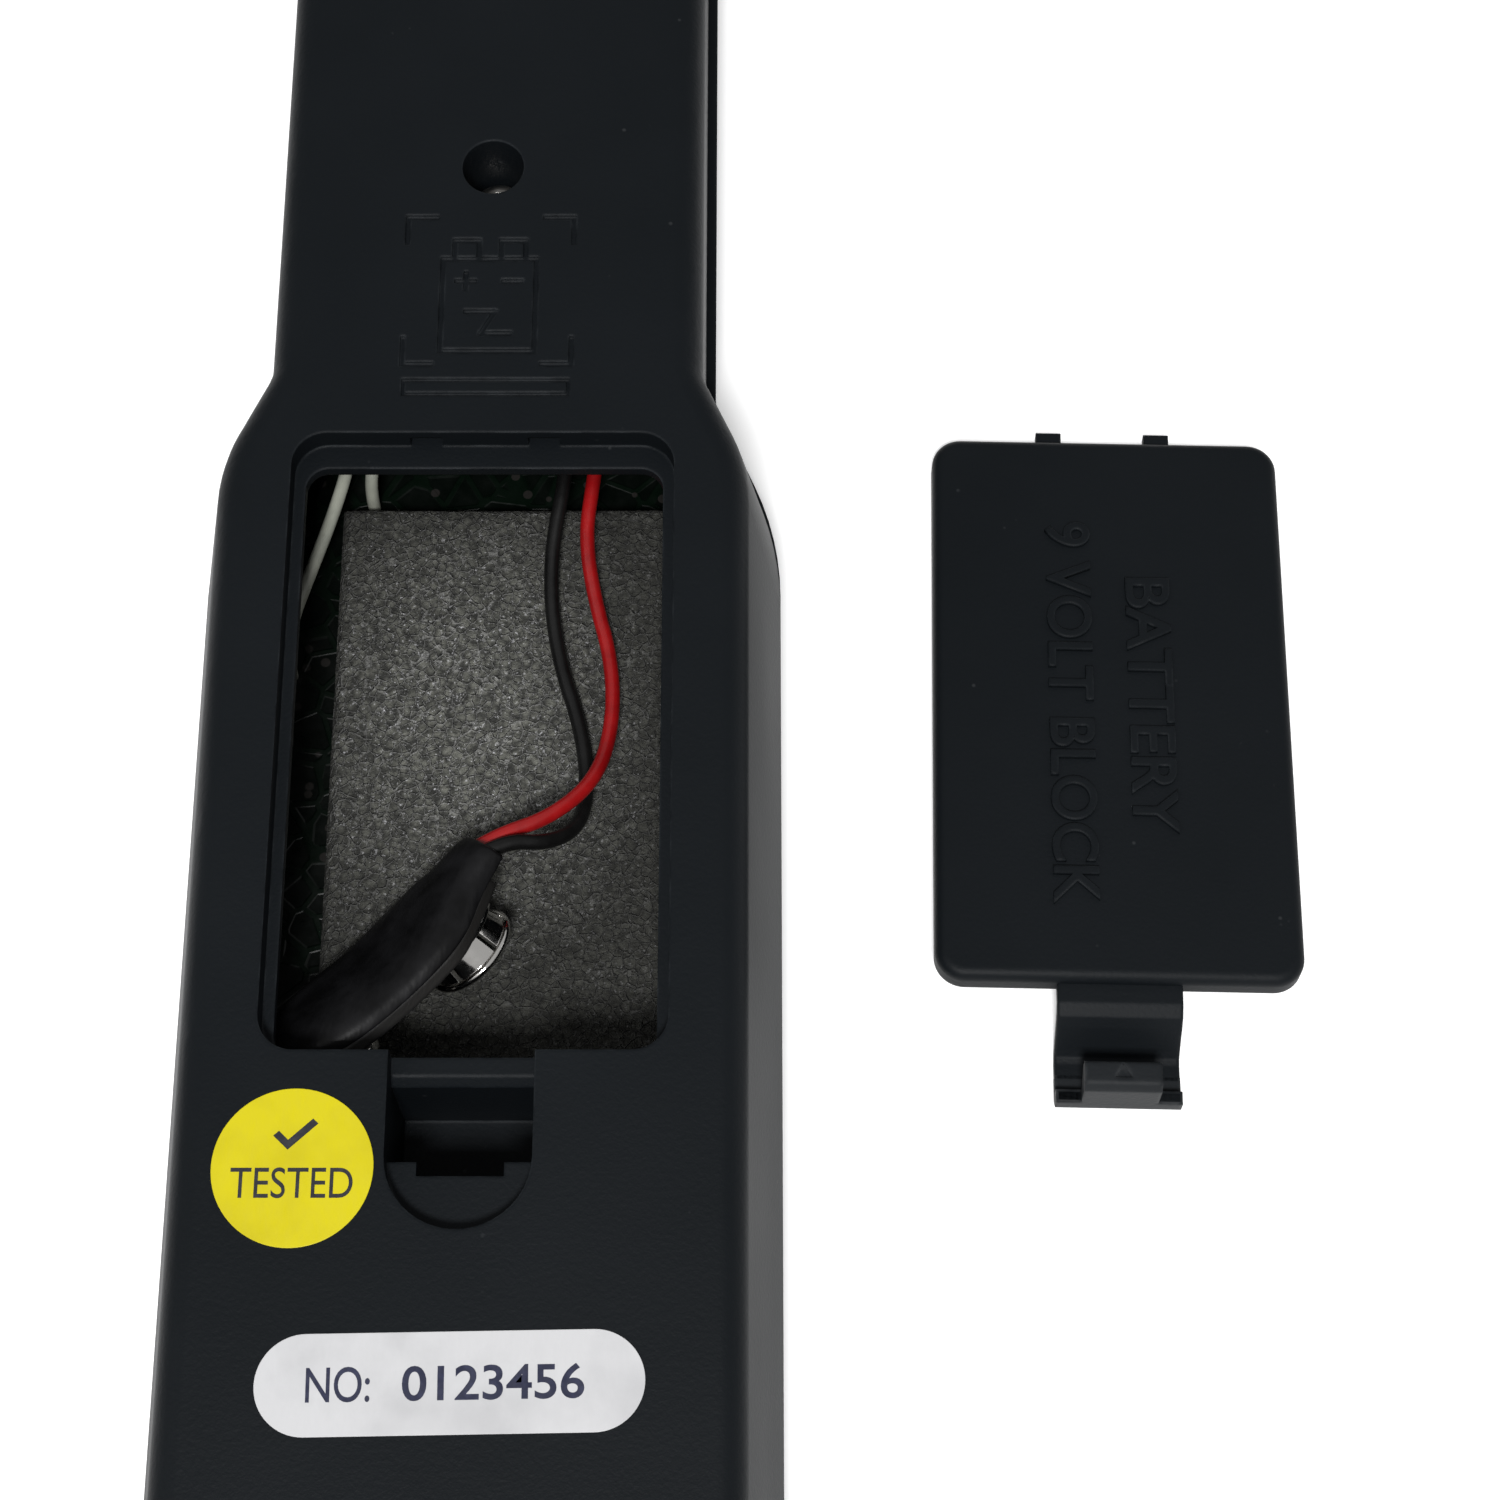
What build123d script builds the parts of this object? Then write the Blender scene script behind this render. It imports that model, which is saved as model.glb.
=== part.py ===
from build123d import *
import os
from math import atan2, cos, degrees, radians, sin, tan

# Hand-held receiver of a circuit breaker finder, lying on its front face with the battery door
# taken off and laid beside it. Millimetres. Origin: middle of the front face. +Y points to the
# sensing tip, +Z is the rear of the instrument, +X the right side seen from the rear.

# ---------------------------------------------------------------- driving dimensions
LENGTH = 200.0  # foot of the grip to sensing tip
BODY_WIDTH = 52.4  # widest, at the parting line of the two shells
NECK_WIDTH = 40.4  # front shell's neck
NECK_STEP = 0.9  # the rear shell's neck stands back by this on each side
THICKNESS = 26.0
PARTING = 10.5  # height of the parting line
WALL = 2.2  # side walls of both shells
PLATE = 2.0  # front and rear plates
SHOULDER_TOP = 23.8  # where the neck starts to widen, at the parting line
SHOULDER_FOOT = 10.0  # where the full body width would be reached
REAR_SLOPE = 3.3  # how far the body flank leans in over the rear shell's height
FRONT_SLOPE = 1.7
EDGE_ROUND = 2.5
TIP_CORNER = 8.0
BUTT_CORNER = 11.0
LIP_HEIGHT = 1.2  # the front shell's locating lip
LIP_WALL = 0.9
LIP_GAP = 0.4

# Battery bay and door seat
BATTERY_WIDTH = 26.5  # standard 9 V block
BATTERY_LENGTH = 48.5
BATTERY_SIDE_ROOM = 2.5
SNAP_ROOM = 5.3  # left at the battery's end for the snap
SNAP_PITCH = 12.7  # standard spacing of the two snap terminals
SEAT_TOP = 13.0  # upper edge of the door seat
SEAT_DEPTH = 2.5
SEAT_CORNER = 3.0
SIDE_LEDGE = 1.0
TOP_LEDGE = 2.3
RIM_THICKNESS = 1.2  # rim that carries the ledge
RIM_MARGIN = 3.0
BAY_HALF = 20.0  # inner faces of the bay's side walls
BAY_WALL = 1.2
CROSSBAR = 2.0  # wall between the bay and the latch pocket
BAY_END_GAP = 0.3

# Battery door
DOOR_GAP = 0.25  # clearance of the door in its seat, all round
TAB_X = 5.2
TAB_WIDTH = 2.4
TAB_LENGTH = 1.4
TAB_THICKNESS = 1.2
TAB_GAP = 0.2
DOOR_ROUND = 1.0
DOOR_SKIN = 1.5  # plate above the hollow underside
DOOR_RIM = 1.6
DOOR_REST = (56.9, -3.4)  # where the loose door lies
DOOR_TURN = -1.2  # degrees, as it was laid down
REST_GAP = 0.02  # the loose door stands this far above the ground

# Latch: a U-shaped strap from the door's lower edge, with two ears that hook under the shelves
STRAP_WIDTH = 11.2
STRAP_THICKNESS = 1.2
STRAP_ROOT_DEPTH = 1.7
STRAP_LEVEL = 2.4
STRAP_DROP = 6.0  # centre line of the U's bottom below the door's face
STRAP_TURN_AT = 5.2
HINGE_AT = 6.9  # distance of the living hinge from the door's edge
HINGE_GAP = 0.2
TONGUE_OUTER = 10.0
TONGUE_WALL = 1.2
EAR_TOP = 4.2  # below the door's face
THUMB_WIDTH = 6.8
THUMB_INNER = 7.4
THUMB_TOP = 0.3
LATCH_SIDE_GAP = 0.35
SHELF_GAP = 0.15

# Latch pocket in the rear shell
POCKET_STRAIGHT = 8.8  # from the seat's lower edge to the shelves
POCKET_DEPTH = 14.0
POCKET_WALL = 1.2
BAR_CHAMFER = 0.75  # on the crossbar, where the strap turns down past it
SCOOP_DEPTH = 2.2
SHELF_THICKNESS = 1.3
NOTCH_DEPTH = 1.15
EAR_ROOM = 2.7
SCOOP_SPREAD = 2.3

# Case screws, bosses and the screw well
WELL_Y = 40.1
FOOT_SCREWS = (15.0, -88.0)
WELL_RADIUS = 2.8
WELL_FLOOR = 17.5
WELL_FLOOR_THICKNESS = 2.0
BOSS_WALL = 1.5
HEAD_RADIUS = 2.55
HEAD_HEIGHT = 1.9
SHANK_RADIUS = 1.25
SHANK_GAP = 0.05
SHANK_LENGTH = 9.5
FRONT_BOSS_RADIUS = 3.5

# Moulded marks on the rear
MARK_DEPTH = 0.3
MARK_LINE = 0.45
MARK_Y = 27.3
MARK_SIZE = 15.0
BAR = (14.6, 1.4)
BAR_Y = 17.5

# Electronics
BOARD_BOTTOM = 4.4
BOARD_THICKNESS = 1.6
BOARD_MARGIN = 0.4  # to the inside of the front shell
BOARD_END = 58.0
BOARD_FOOT = -95.0
BOARD_SCREWS = ((17.5, -52.0), (-17.5, -52.0), (11.5, 55.0), (-11.5, 55.0))
FOAM_THICKNESS = 4.0
FOAM_LEFT = -14.4
FOAM_RIGHT = 16.3
FOAM_TOP = 13.7
ROD_RADIUS = 4.0
ROD_LENGTH = 34.0
ROD_Y = 78.0
ROD_Z = 13.4
BOBBIN_LENGTH = 24.0
BOBBIN_FLANGE = 7.0
BOBBIN_CORE = 4.9
ROD_GAP = 0.05
WINDING_RADIUS = 6.3
KNOB_Y = -68.0
KNOB_RADIUS = 11.9
KNOB_GAP = 0.3
KNOB_SUNK = 2.2
KNOB_THICKNESS = 1.6
SHAFT_RADIUS = 2.0
SHAFT_GAP = 0.05
POT_RADIUS = 8.0
POT_HEIGHT = 7.0
BUZZER_RADIUS = 6.0
BUZZER_HEIGHT = 7.6
BUZZER_Y = -88.0
LAMP_Y = 52.0
LAMP_RADIUS = 1.5
LENS_RADIUS = 2.5
CAPACITORS = ((12.6, 33.6), (6.4, 31.6), (14.0, -78.0))
PANEL = (30.0, 34.0, 0.4)
PANEL_Y = -32.0

# Stickers
DOT_RADIUS = 6.5
DOT_AT = (-13.2, -52.9)
LABEL = (30.5, 8.0)
LABEL_Y = -70.0
LABEL_TURN = 1.0  # degrees
STICKER = 0.12

# Battery snap: a flat connector leaning on its long edge
SNAP_X = -7.65
SNAP_FROM_FOOT = 9.7  # from the foot wall of the bay
SNAP_HEADING = 225.5  # degrees, from the lead end to the far end
SNAP_LEAN = 44.5  # degrees that the terminals point below level
SNAP_LENGTH = 24.2
SNAP_WIDTH = 12.4
SNAP_BASE = 1.1
SNAP_COVER = 2.2
SNAP_BEND = 50.0  # radius of the flat connector's lengthwise bend, terminals on the outside
SNAP_REST_GAP = 0.1  # above the foam
SNOUT_HALF = 2.5
EXIT_TURN = 25.0  # degrees that the leads leave the mouth bent towards the terminals
SOCKET_RADIUS = 4.2
SOCKET_HEIGHT = 3.2
SOCKET_WALL = 0.6
SOCKET_FLARE = 0.8  # the petals lean out by this over their height
SOCKET_SLITS = 6
FLANGE = 0.4  # terminal flanges
RIVET_RADIUS = 1.5
STUD_RADIUS = 2.85
STUD_HEIGHT = 3.0

# Leads
LEAD_RADIUS = 0.675
WIRE_RADIUS = 0.6
MOUTH_GAP = 0.6  # the leads' ends stop this far from the snap
SKIN_GAP = 0.1  # small clearance between parts that only lie near each other

BACK = THICKNESS
HALF = LENGTH / 2
OPENING_WIDTH = BATTERY_WIDTH + 2 * BATTERY_SIDE_ROOM
OPENING_LENGTH = BATTERY_LENGTH + SNAP_ROOM
SEAT_WIDTH = OPENING_WIDTH + 2 * SIDE_LEDGE
SEAT_LENGTH = OPENING_LENGTH + TOP_LEDGE
SEAT_BOTTOM = SEAT_TOP - SEAT_LENGTH
SEAT_FLOOR = BACK - SEAT_DEPTH
RIM_UNDER = SEAT_FLOOR - RIM_THICKNESS
BOARD_TOP = BOARD_BOTTOM + BOARD_THICKNESS
FOAM_UP = BOARD_TOP + FOAM_THICKNESS
POCKET_HALF = STRAP_WIDTH / 2 + LATCH_SIDE_GAP
SHELF_Y = SEAT_BOTTOM - POCKET_STRAIGHT
POCKET_FLOOR = BACK - POCKET_DEPTH
SHELF_TOP = BACK - SCOOP_DEPTH
SHELF_UNDER = SHELF_TOP - SHELF_THICKNESS
CROSSBAR_TOP_Y = SEAT_BOTTOM - BAY_END_GAP
CROSSBAR_FOOT_Y = CROSSBAR_TOP_Y - CROSSBAR
SNAP_AT = (SNAP_X, CROSSBAR_TOP_Y + SNAP_FROM_FOOT)
OVER = 1.0  # how far cutting tools run past a face


# ---------------------------------------------------------------- helpers
def outline(neck_half, body_half, shoulder_top, shoulder_foot, ends=0.0, inset=0.0, foot_radius=28.0):
    """Plan of the instrument at one level: a narrow neck, sloping shoulders and a wide body."""
    turn = atan2(body_half - neck_half, shoulder_top - shoulder_foot)
    drop = inset * tan(turn / 2)
    neck, body, end = neck_half - inset, body_half - inset, HALF - ends - inset
    right = [(body, -end), (body, shoulder_foot - drop), (neck, shoulder_top - drop), (neck, end)]
    left = [(-x, y) for x, y in reversed(right)]
    radii = [BUTT_CORNER - inset, foot_radius - inset, 3.0 + inset, TIP_CORNER - inset]
    return make_face(FilletPolyline(*right, *left, radius=radii + radii[::-1], close=True))


def at_parting(neck_half, inset=0.0):
    return outline(neck_half, BODY_WIDTH / 2, SHOULDER_TOP, SHOULDER_FOOT, 0.0, inset)


def at_back(inset=0.0):
    return outline(
        NECK_WIDTH / 2 - NECK_STEP - 0.1,
        BODY_WIDTH / 2 - REAR_SLOPE,
        SHOULDER_TOP - 5.1,
        SHOULDER_FOOT + 0.7,
        1.5,
        inset,
        14.0,
    )


def at_front(inset=0.0):
    return outline(
        NECK_WIDTH / 2 - 1.4, BODY_WIDTH / 2 - FRONT_SLOPE, SHOULDER_TOP - 1, SHOULDER_FOOT - 1, 1.5, inset
    )


def between(low_face, low_z, high_face, high_z):
    return loft([Pos(0, 0, low_z) * low_face, Pos(0, 0, high_z) * high_face], ruled=True)


def slab(x0, x1, y0, y1, z0, z1):
    """A box between two corners."""
    middle = Pos((x0 + x1) / 2, (y0 + y1) / 2, (z0 + z1) / 2)
    return middle * Box(abs(x1 - x0), abs(y1 - y0), abs(z1 - z0))


def rod(x, y, z0, z1, radius):
    return Pos(x, y, (z0 + z1) / 2) * Cylinder(radius, z1 - z0)


def rounded_slab(width, length, z0, z1, corner):
    plan = RectangleRounded(width, length, corner)
    return Pos(0, 0, z0) * extrude(plan, z1 - z0)


def write(name, *solids):
    """One STEP file per sub-part. Several separate solids go in as one group."""
    shape = solids[0] if len(solids) == 1 else Compound(children=list(solids))
    shape.label = name
    export_step(shape, f"parts/{name}.step")


def cable(name, route, radius):
    """A round lead along straight runs joined by tangent arcs, as large as the runs allow."""
    points = [Vector(*p) for p in route]
    radii = []
    for before, here, after in zip(points, points[1:], points[2:]):
        run_in, run_out = here - before, after - here
        turn = radians(run_in.get_angle(run_out))
        shorter = min(run_in.length, run_out.length)
        radii.append(0.45 * shorter / tan(turn / 2))
    path = FilletPolyline(*points, radius=radii)
    section = Plane(origin=points[0], z_dir=points[1] - points[0]) * Circle(radius)
    tube = sweep(section, path=path)
    share = tube.volume / (section.area * path.length)
    print(name, "length", round(path.length, 1), "volume share", round(share, 3))
    print("  bend radii", [round(r, 1) for r in radii])
    return tube


def screw(x, y, under_head, head_radius, head_height, shank_radius, shank_length):
    """Pan head with a cross recess, head upwards."""
    head = rod(x, y, under_head, under_head + head_height, head_radius)
    top_rim = head.faces().sort_by(Axis.Z)[-1].edges()
    head = fillet(top_rim, head_height * 0.45)
    top = under_head + head_height
    for wide, deep in ((0.6, 2.8), (2.8, 0.6)):
        cut = head_radius / 2.6
        head -= Pos(x, y, top) * Box(wide * cut, deep * cut, head_height)
    shank = rod(x, y, under_head - shank_length, under_head, shank_radius)
    return head + shank


# ---------------------------------------------------------------- rear shell
def screw_sites():
    x, y = FOOT_SCREWS
    return ((0.0, WELL_Y), (x, y), (-x, y))


def seat_plan(margin=0.0):
    """Solid prism of the door seat, grown by a margin."""
    middle_y = (SEAT_TOP + SEAT_BOTTOM) / 2
    plan = RectangleRounded(SEAT_WIDTH + 2 * margin, SEAT_LENGTH + 2 * margin, SEAT_CORNER + margin)
    return Pos(0, middle_y, 0) * plan


def latch_pocket_cut():
    """Everything that is open in the latch pocket, as one tool."""
    half, top = POCKET_HALF, BACK + OVER
    well = slab(-half, half, CROSSBAR_FOOT_Y, SHELF_Y, POCKET_FLOOR, top)
    notch_half = THUMB_WIDTH / 2 + SHELF_GAP
    notch = slab(-notch_half, notch_half, SHELF_Y - NOTCH_DEPTH, SHELF_Y + OVER, POCKET_FLOOR, top)
    under = slab(-half, half, SHELF_Y - EAR_ROOM, SHELF_Y + OVER, POCKET_FLOOR, SHELF_UNDER)
    over_bar = slab(-half, half, CROSSBAR_FOOT_Y - OVER, SEAT_BOTTOM + OVER, SEAT_FLOOR, top)
    thumb_plan = Circle(half) + Pos(0, half) * Rectangle(2 * half, 2 * half)
    thumb = Pos(0, SHELF_Y, SHELF_TOP) * extrude(thumb_plan, SCOOP_DEPTH + OVER)
    dish = between(Circle(half), -1.2, Ellipse(half, half + 1.5 * SCOOP_SPREAD), 0.6)
    dish = Pos(0, SHELF_Y, BACK) * dish & slab(-half, half, SHELF_Y - 3 * half, SHELF_Y, SHELF_TOP, top)
    side = BAR_CHAMFER * 2**0.5
    chamfer_cut = Pos(0, CROSSBAR_FOOT_Y, SEAT_FLOOR) * Rot(45, 0, 0) * Box(2 * half, side, side)
    return well + notch + under + over_bar + thumb + dish + chamfer_cut


def latch_pocket_block():
    """The walls that hang below the rear plate round the pocket."""
    half = POCKET_HALF + POCKET_WALL
    foot = SHELF_Y - EAR_ROOM - POCKET_WALL
    low = POCKET_FLOOR - POCKET_WALL
    block = slab(-half, half, foot, CROSSBAR_TOP_Y, low, BACK - PLATE / 2)
    thumb = Pos(0, SHELF_Y, SHELF_UNDER) * extrude(Circle(half), SCOOP_DEPTH)
    return block + thumb


def line_groove(x0, y0, x1, y1, line=MARK_LINE):
    """A straight groove of constant width in the rear face."""
    length = ((x1 - x0) ** 2 + (y1 - y0) ** 2) ** 0.5
    angle = degrees(atan2(y1 - y0, x1 - x0))
    place = Pos((x0 + x1) / 2, (y0 + y1) / 2, BACK) * Rot(0, 0, angle)
    return place * Box(length + line, line, 2 * MARK_DEPTH)


def battery_pictogram():
    """Outline of a block battery with its two snaps, a plus, a minus and a frame of corner ticks."""
    half, y = MARK_SIZE / 2, MARK_Y
    box_half, box_low, box_high = 4.2, y - 6.2, y + 3.2
    corners = [(-box_half, box_low), (box_half, box_low), (box_half, box_high), (-box_half, box_high)]
    runs = [(*a, *b) for a, b in zip(corners, corners[1:] + corners[:1])]
    for side in (-1, 1):
        snap_x, snap_top = side * 2.1, box_high + 1.9
        left, right = snap_x - 1.1, snap_x + 1.1
        runs += [(left, box_high, left, snap_top), (right, box_high, right, snap_top)]
        runs += [(left, snap_top, right, snap_top)]
        for end in (-1, 1):
            x_out, y_out = side * half, y + end * half
            runs += [(x_out, y_out, x_out - side * 2.6, y_out), (x_out, y_out, x_out, y_out - end * 2.6)]
    runs += [(-2.9, y + 0.9, -1.3, y + 0.9), (-2.1, y + 0.1, -2.1, y + 1.7), (1.3, y + 0.9, 2.9, y + 0.9)]
    runs += [(-2.0, y - 2.2, 0.6, y - 2.2), (0.6, y - 2.2, -0.6, y - 4.4), (-0.6, y - 4.4, 2.0, y - 4.4)]
    return [line_groove(*run) for run in runs]


def bar_mark():
    """Outline of a long bar below the pictogram."""
    half_x, half_y = BAR[0] / 2, BAR[1] / 2
    low, high = BAR_Y - half_y, BAR_Y + half_y
    sides = [(-half_x, low, half_x, low), (-half_x, high, half_x, high)]
    ends = [(-half_x, low, -half_x, high), (half_x, low, half_x, high)]
    return [line_groove(*run, MARK_LINE * 0.7) for run in sides + ends]


def rear_shell():
    neck = NECK_WIDTH / 2 - NECK_STEP
    outer = between(at_parting(neck), PARTING, at_back(), BACK)
    outer = fillet(outer.faces().sort_by(Axis.Z)[-1].outer_wire().edges(), EDGE_ROUND)
    inner = between(at_parting(neck, WALL), PARTING, at_back(WALL), BACK - PLATE)
    shell = outer - inner

    rim = Pos(0, 0, RIM_UNDER) * extrude(seat_plan(RIM_MARGIN), BACK - PLATE / 2 - RIM_UNDER)
    bay_top, bay_foot = BACK - PLATE / 2, BOARD_TOP + 0.6
    walls = []
    for side in (-1, 1):
        near, far = side * BAY_HALF, side * (BAY_HALF + BAY_WALL)
        walls.append(slab(near, far, CROSSBAR_FOOT_Y, SEAT_TOP - TOP_LEDGE, bay_foot, bay_top))
    reach = BAY_HALF + BAY_WALL
    walls.append(slab(-reach, reach, CROSSBAR_FOOT_Y, CROSSBAR_TOP_Y, bay_foot, bay_top))
    shell = shell + [rim, *walls, latch_pocket_block()]

    for x, y in screw_sites():
        shell += rod(x, y, WELL_FLOOR - WELL_FLOOR_THICKNESS, BACK - PLATE / 2, WELL_RADIUS + BOSS_WALL)

    seat = Pos(0, 0, SEAT_FLOOR) * extrude(seat_plan(), SEAT_DEPTH + OVER)
    opening_plan = RectangleRounded(OPENING_WIDTH, OPENING_LENGTH, SEAT_CORNER - SIDE_LEDGE)
    opening = Pos(0, SEAT_BOTTOM + OPENING_LENGTH / 2, RIM_UNDER - OVER) * extrude(opening_plan, 5)
    cuts = [seat, opening, latch_pocket_cut()]
    slot_half = TAB_WIDTH / 2 + TAB_GAP
    for x in (-TAB_X, TAB_X):
        slot_top = SEAT_FLOOR + TAB_THICKNESS + TAB_GAP
        cuts.append(slab(x - slot_half, x + slot_half, SEAT_TOP - OVER, SEAT_TOP + TAB_LENGTH + TAB_GAP,
                         SEAT_FLOOR, slot_top))
    for x, y in screw_sites():
        cuts.append(rod(x, y, WELL_FLOOR, BACK + OVER, WELL_RADIUS))
        cuts.append(rod(x, y, PARTING, WELL_FLOOR + OVER, SHANK_RADIUS + 0.25))
    shell = shell - cuts
    return shell - (battery_pictogram() + bar_mark())


# ---------------------------------------------------------------- front shell
def cradle(y):
    """An upright rib with a round notch that carries one end of the ferrite rod."""
    rib = slab(-8.0, 8.0, y - 0.8, y + 0.8, PLATE - 0.5, ROD_Z)
    notch = Pos(0, y, ROD_Z) * Rot(90, 0, 0) * Cylinder(ROD_RADIUS + SKIN_GAP, 4)
    return rib - notch


def rod_ends():
    reach = (ROD_LENGTH + BOBBIN_LENGTH) / 4
    return ROD_Y - reach, ROD_Y + reach


def front_shell():
    neck = NECK_WIDTH / 2
    rear_neck = neck - NECK_STEP
    outer = between(at_front(), 0, at_parting(neck), PARTING)
    outer = fillet(outer.faces().sort_by(Axis.Z)[0].outer_wire().edges(), EDGE_ROUND)
    inner = between(at_front(WALL + 1.0), PLATE, at_parting(rear_neck, WALL), PARTING + 0.01)
    lip_low = PARTING - 2 * LIP_HEIGHT
    lip_inset = WALL + LIP_GAP
    lip_face = at_parting(rear_neck, lip_inset) - at_parting(rear_neck, lip_inset + LIP_WALL)
    lip = Pos(0, 0, lip_low) * extrude(lip_face, 3 * LIP_HEIGHT)
    root_face = at_parting(rear_neck, WALL - 0.4) - at_parting(rear_neck, lip_inset + LIP_WALL)
    root = Pos(0, 0, lip_low) * extrude(root_face, PARTING - lip_low)
    shell = outer - inner + [lip, root]

    pilot = SHANK_RADIUS + SHANK_GAP
    boss_top = WELL_FLOOR - WELL_FLOOR_THICKNESS - SKIN_GAP
    for x, y in screw_sites():
        shell += rod(x, y, PLATE / 2, boss_top, FRONT_BOSS_RADIUS)
    for x, y in BOARD_SCREWS:
        shell += rod(x, y, PLATE / 2, BOARD_BOTTOM, 2.2)
    for y in rod_ends():
        shell += cradle(y)
    recess_floor = KNOB_SUNK + 1.8
    shell += rod(0, KNOB_Y, PLATE / 2, recess_floor, KNOB_RADIUS + KNOB_GAP + 1.6)

    cuts = [rod(x, y, PLATE, boss_top + OVER, pilot) for x, y in screw_sites()]
    cuts += [rod(x, y, PLATE / 2, BOARD_BOTTOM + OVER, 0.95) for x, y in BOARD_SCREWS]
    cuts.append(rod(0, KNOB_Y, -OVER, KNOB_SUNK, KNOB_RADIUS + KNOB_GAP))
    cuts.append(rod(0, KNOB_Y, 0, recess_floor + OVER, SHAFT_RADIUS + 0.2))
    cuts.append(rod(0, LAMP_Y, -OVER, PLATE + OVER, LENS_RADIUS))
    cuts.append(slab(-PANEL[0] / 2 - 0.2, PANEL[0] / 2 + 0.2, PANEL_Y - PANEL[1] / 2 - 0.2,
                     PANEL_Y + PANEL[1] / 2 + 0.2, -OVER, PANEL[2] + 0.1))
    for slot in (-2, -1, 0, 1, 2):
        y = BUZZER_Y + 2.4 * slot
        cuts.append(slab(-4.0, 4.0, y - 0.6, y + 0.6, -OVER, PLATE + OVER))
    return shell - cuts


# ---------------------------------------------------------------- electronics
def circuit_board():
    plan = at_front(WALL + 1.0 + BOARD_MARGIN)
    keep = Pos(0, (BOARD_END + BOARD_FOOT) / 2) * Rectangle(2 * BODY_WIDTH, BOARD_END - BOARD_FOOT)
    board = Pos(0, 0, BOARD_BOTTOM) * extrude(plan & keep, BOARD_THICKNESS)
    low, high = BOARD_BOTTOM - OVER, BOARD_TOP + OVER
    for x, y in screw_sites():
        board -= rod(x, y, low, high, FRONT_BOSS_RADIUS + 0.5)
    for x, y in BOARD_SCREWS:
        board -= rod(x, y, low, high, 1.2)
    return board - rod(0, KNOB_Y, low, high, SHAFT_RADIUS + 0.5)


def chip(x, y, length=9.6, width=6.2, height=3.2):
    """Dual in-line package along Y, with four bent legs on each side."""
    low = BOARD_TOP + 0.5
    body = slab(x - width / 2, x + width / 2, y - length / 2, y + length / 2, low, low + height)
    body -= Pos(x, y + length / 2, low + height) * Cylinder(0.8, 1.0)
    for side in (-1, 1):
        for leg in range(4):
            leg_y = y + (leg - 1.5) * 2.54
            inner, outer = x + side * (width / 2 - 0.2), x + side * (width / 2 + 0.5)
            body += slab(inner, outer, leg_y - 0.25, leg_y + 0.25, BOARD_TOP, low + height / 2)
    return body


def capacitor(x, y, radius=2.5, height=7.0):
    can = rod(x, y, BOARD_TOP, BOARD_TOP + height, radius)
    can = fillet(can.faces().sort_by(Axis.Z)[-1].edges(), 0.4)
    groove = Pos(x, y, BOARD_TOP + 1.2) * Torus(radius, 0.25)
    return can - groove


def resistor(x, y):
    """A bulged body along X with bent leads."""
    z = BOARD_TOP + 1.2
    body = Pos(x, y, z) * Rot(0, 90, 0) * Cylinder(0.75, 4.4)
    for side in (-1, 1):
        body += Pos(x + side * 1.8, y, z) * Sphere(1.0)
        body += slab(x + side * 2.4, x + side * 3.4, y - 0.25, y + 0.25, z - 0.25, z + 0.25)
        body += slab(x + side * 2.9, x + side * 3.4, y - 0.25, y + 0.25, BOARD_TOP, z)
    return body


def winding():
    """Fine copper wire on the bobbin, with shallow rings along it."""
    spread = BOBBIN_LENGTH / 2 - 1.3
    steps = 8
    pitch = 2 * spread / steps
    turns = []
    for step in range(steps):
        middle = -spread + pitch * (step + 0.5)
        wave = WINDING_RADIUS - (0.25 if step % 2 else 0.0)
        turns.append(Pos(0, 0, middle) * Cylinder(wave, pitch))
    coil = turns[0]
    for turn in turns[1:]:
        coil += turn
    coil -= Cylinder(BOBBIN_CORE, 2 * BOBBIN_LENGTH)
    return coil


def bobbin():
    body = Cylinder(BOBBIN_CORE, BOBBIN_LENGTH)
    for side in (-1, 1):
        body += Pos(0, 0, side * (BOBBIN_LENGTH / 2 - 0.6)) * Cylinder(BOBBIN_FLANGE, 1.2)
    return body - Cylinder(ROD_RADIUS + ROD_GAP, 2 * BOBBIN_LENGTH)


def lying(shape):
    """Turns a piece made about Z so that it lies along Y in the sensing tip."""
    return Pos(0, ROD_Y, ROD_Z) * Rot(90, 0, 0) * shape


def potentiometer_body():
    low = BOARD_TOP
    body = rod(0, KNOB_Y, low, low + POT_HEIGHT, POT_RADIUS)
    body = fillet(body.faces().sort_by(Axis.Z)[-1].edges(), 0.6)
    body += slab(-POT_RADIUS - 2.0, POT_RADIUS + 2.0, KNOB_Y - 1.6, KNOB_Y + 1.6, low, low + 1.0)
    return body - rod(0, KNOB_Y, low - OVER, low + POT_HEIGHT - 1.6, SHAFT_RADIUS + SHAFT_GAP)


def knob():
    low, high = 0.4, 0.4 + KNOB_THICKNESS
    disc = rod(0, KNOB_Y, low, high, KNOB_RADIUS)
    disc = chamfer(disc.faces().sort_by(Axis.Z)[0].edges(), 0.3)
    grips = 24
    for step in range(grips):
        angle = radians(360 * step / grips)
        x, y = KNOB_RADIUS * sin(angle), KNOB_Y + KNOB_RADIUS * cos(angle)
        disc -= rod(x, y, low - OVER, high + OVER, 0.5)
    finger_dish = Pos(0, KNOB_Y + KNOB_RADIUS * 0.62, low) * Sphere(3.2)
    disc -= finger_dish & slab(-9, 9, KNOB_Y, KNOB_Y + 20, 0, low + 1.0)
    disc -= slab(-0.55, 0.55, KNOB_Y - KNOB_RADIUS + 1.0, KNOB_Y - 3.4, low - OVER, low + 0.4)
    return disc - rod(0, KNOB_Y, low + 0.5, high + OVER, SHAFT_RADIUS + SHAFT_GAP / 2)


def knob_pointer():
    return slab(-0.5, 0.5, KNOB_Y - KNOB_RADIUS + 1.05, KNOB_Y - 3.45, 0.4, 0.8)


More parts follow.
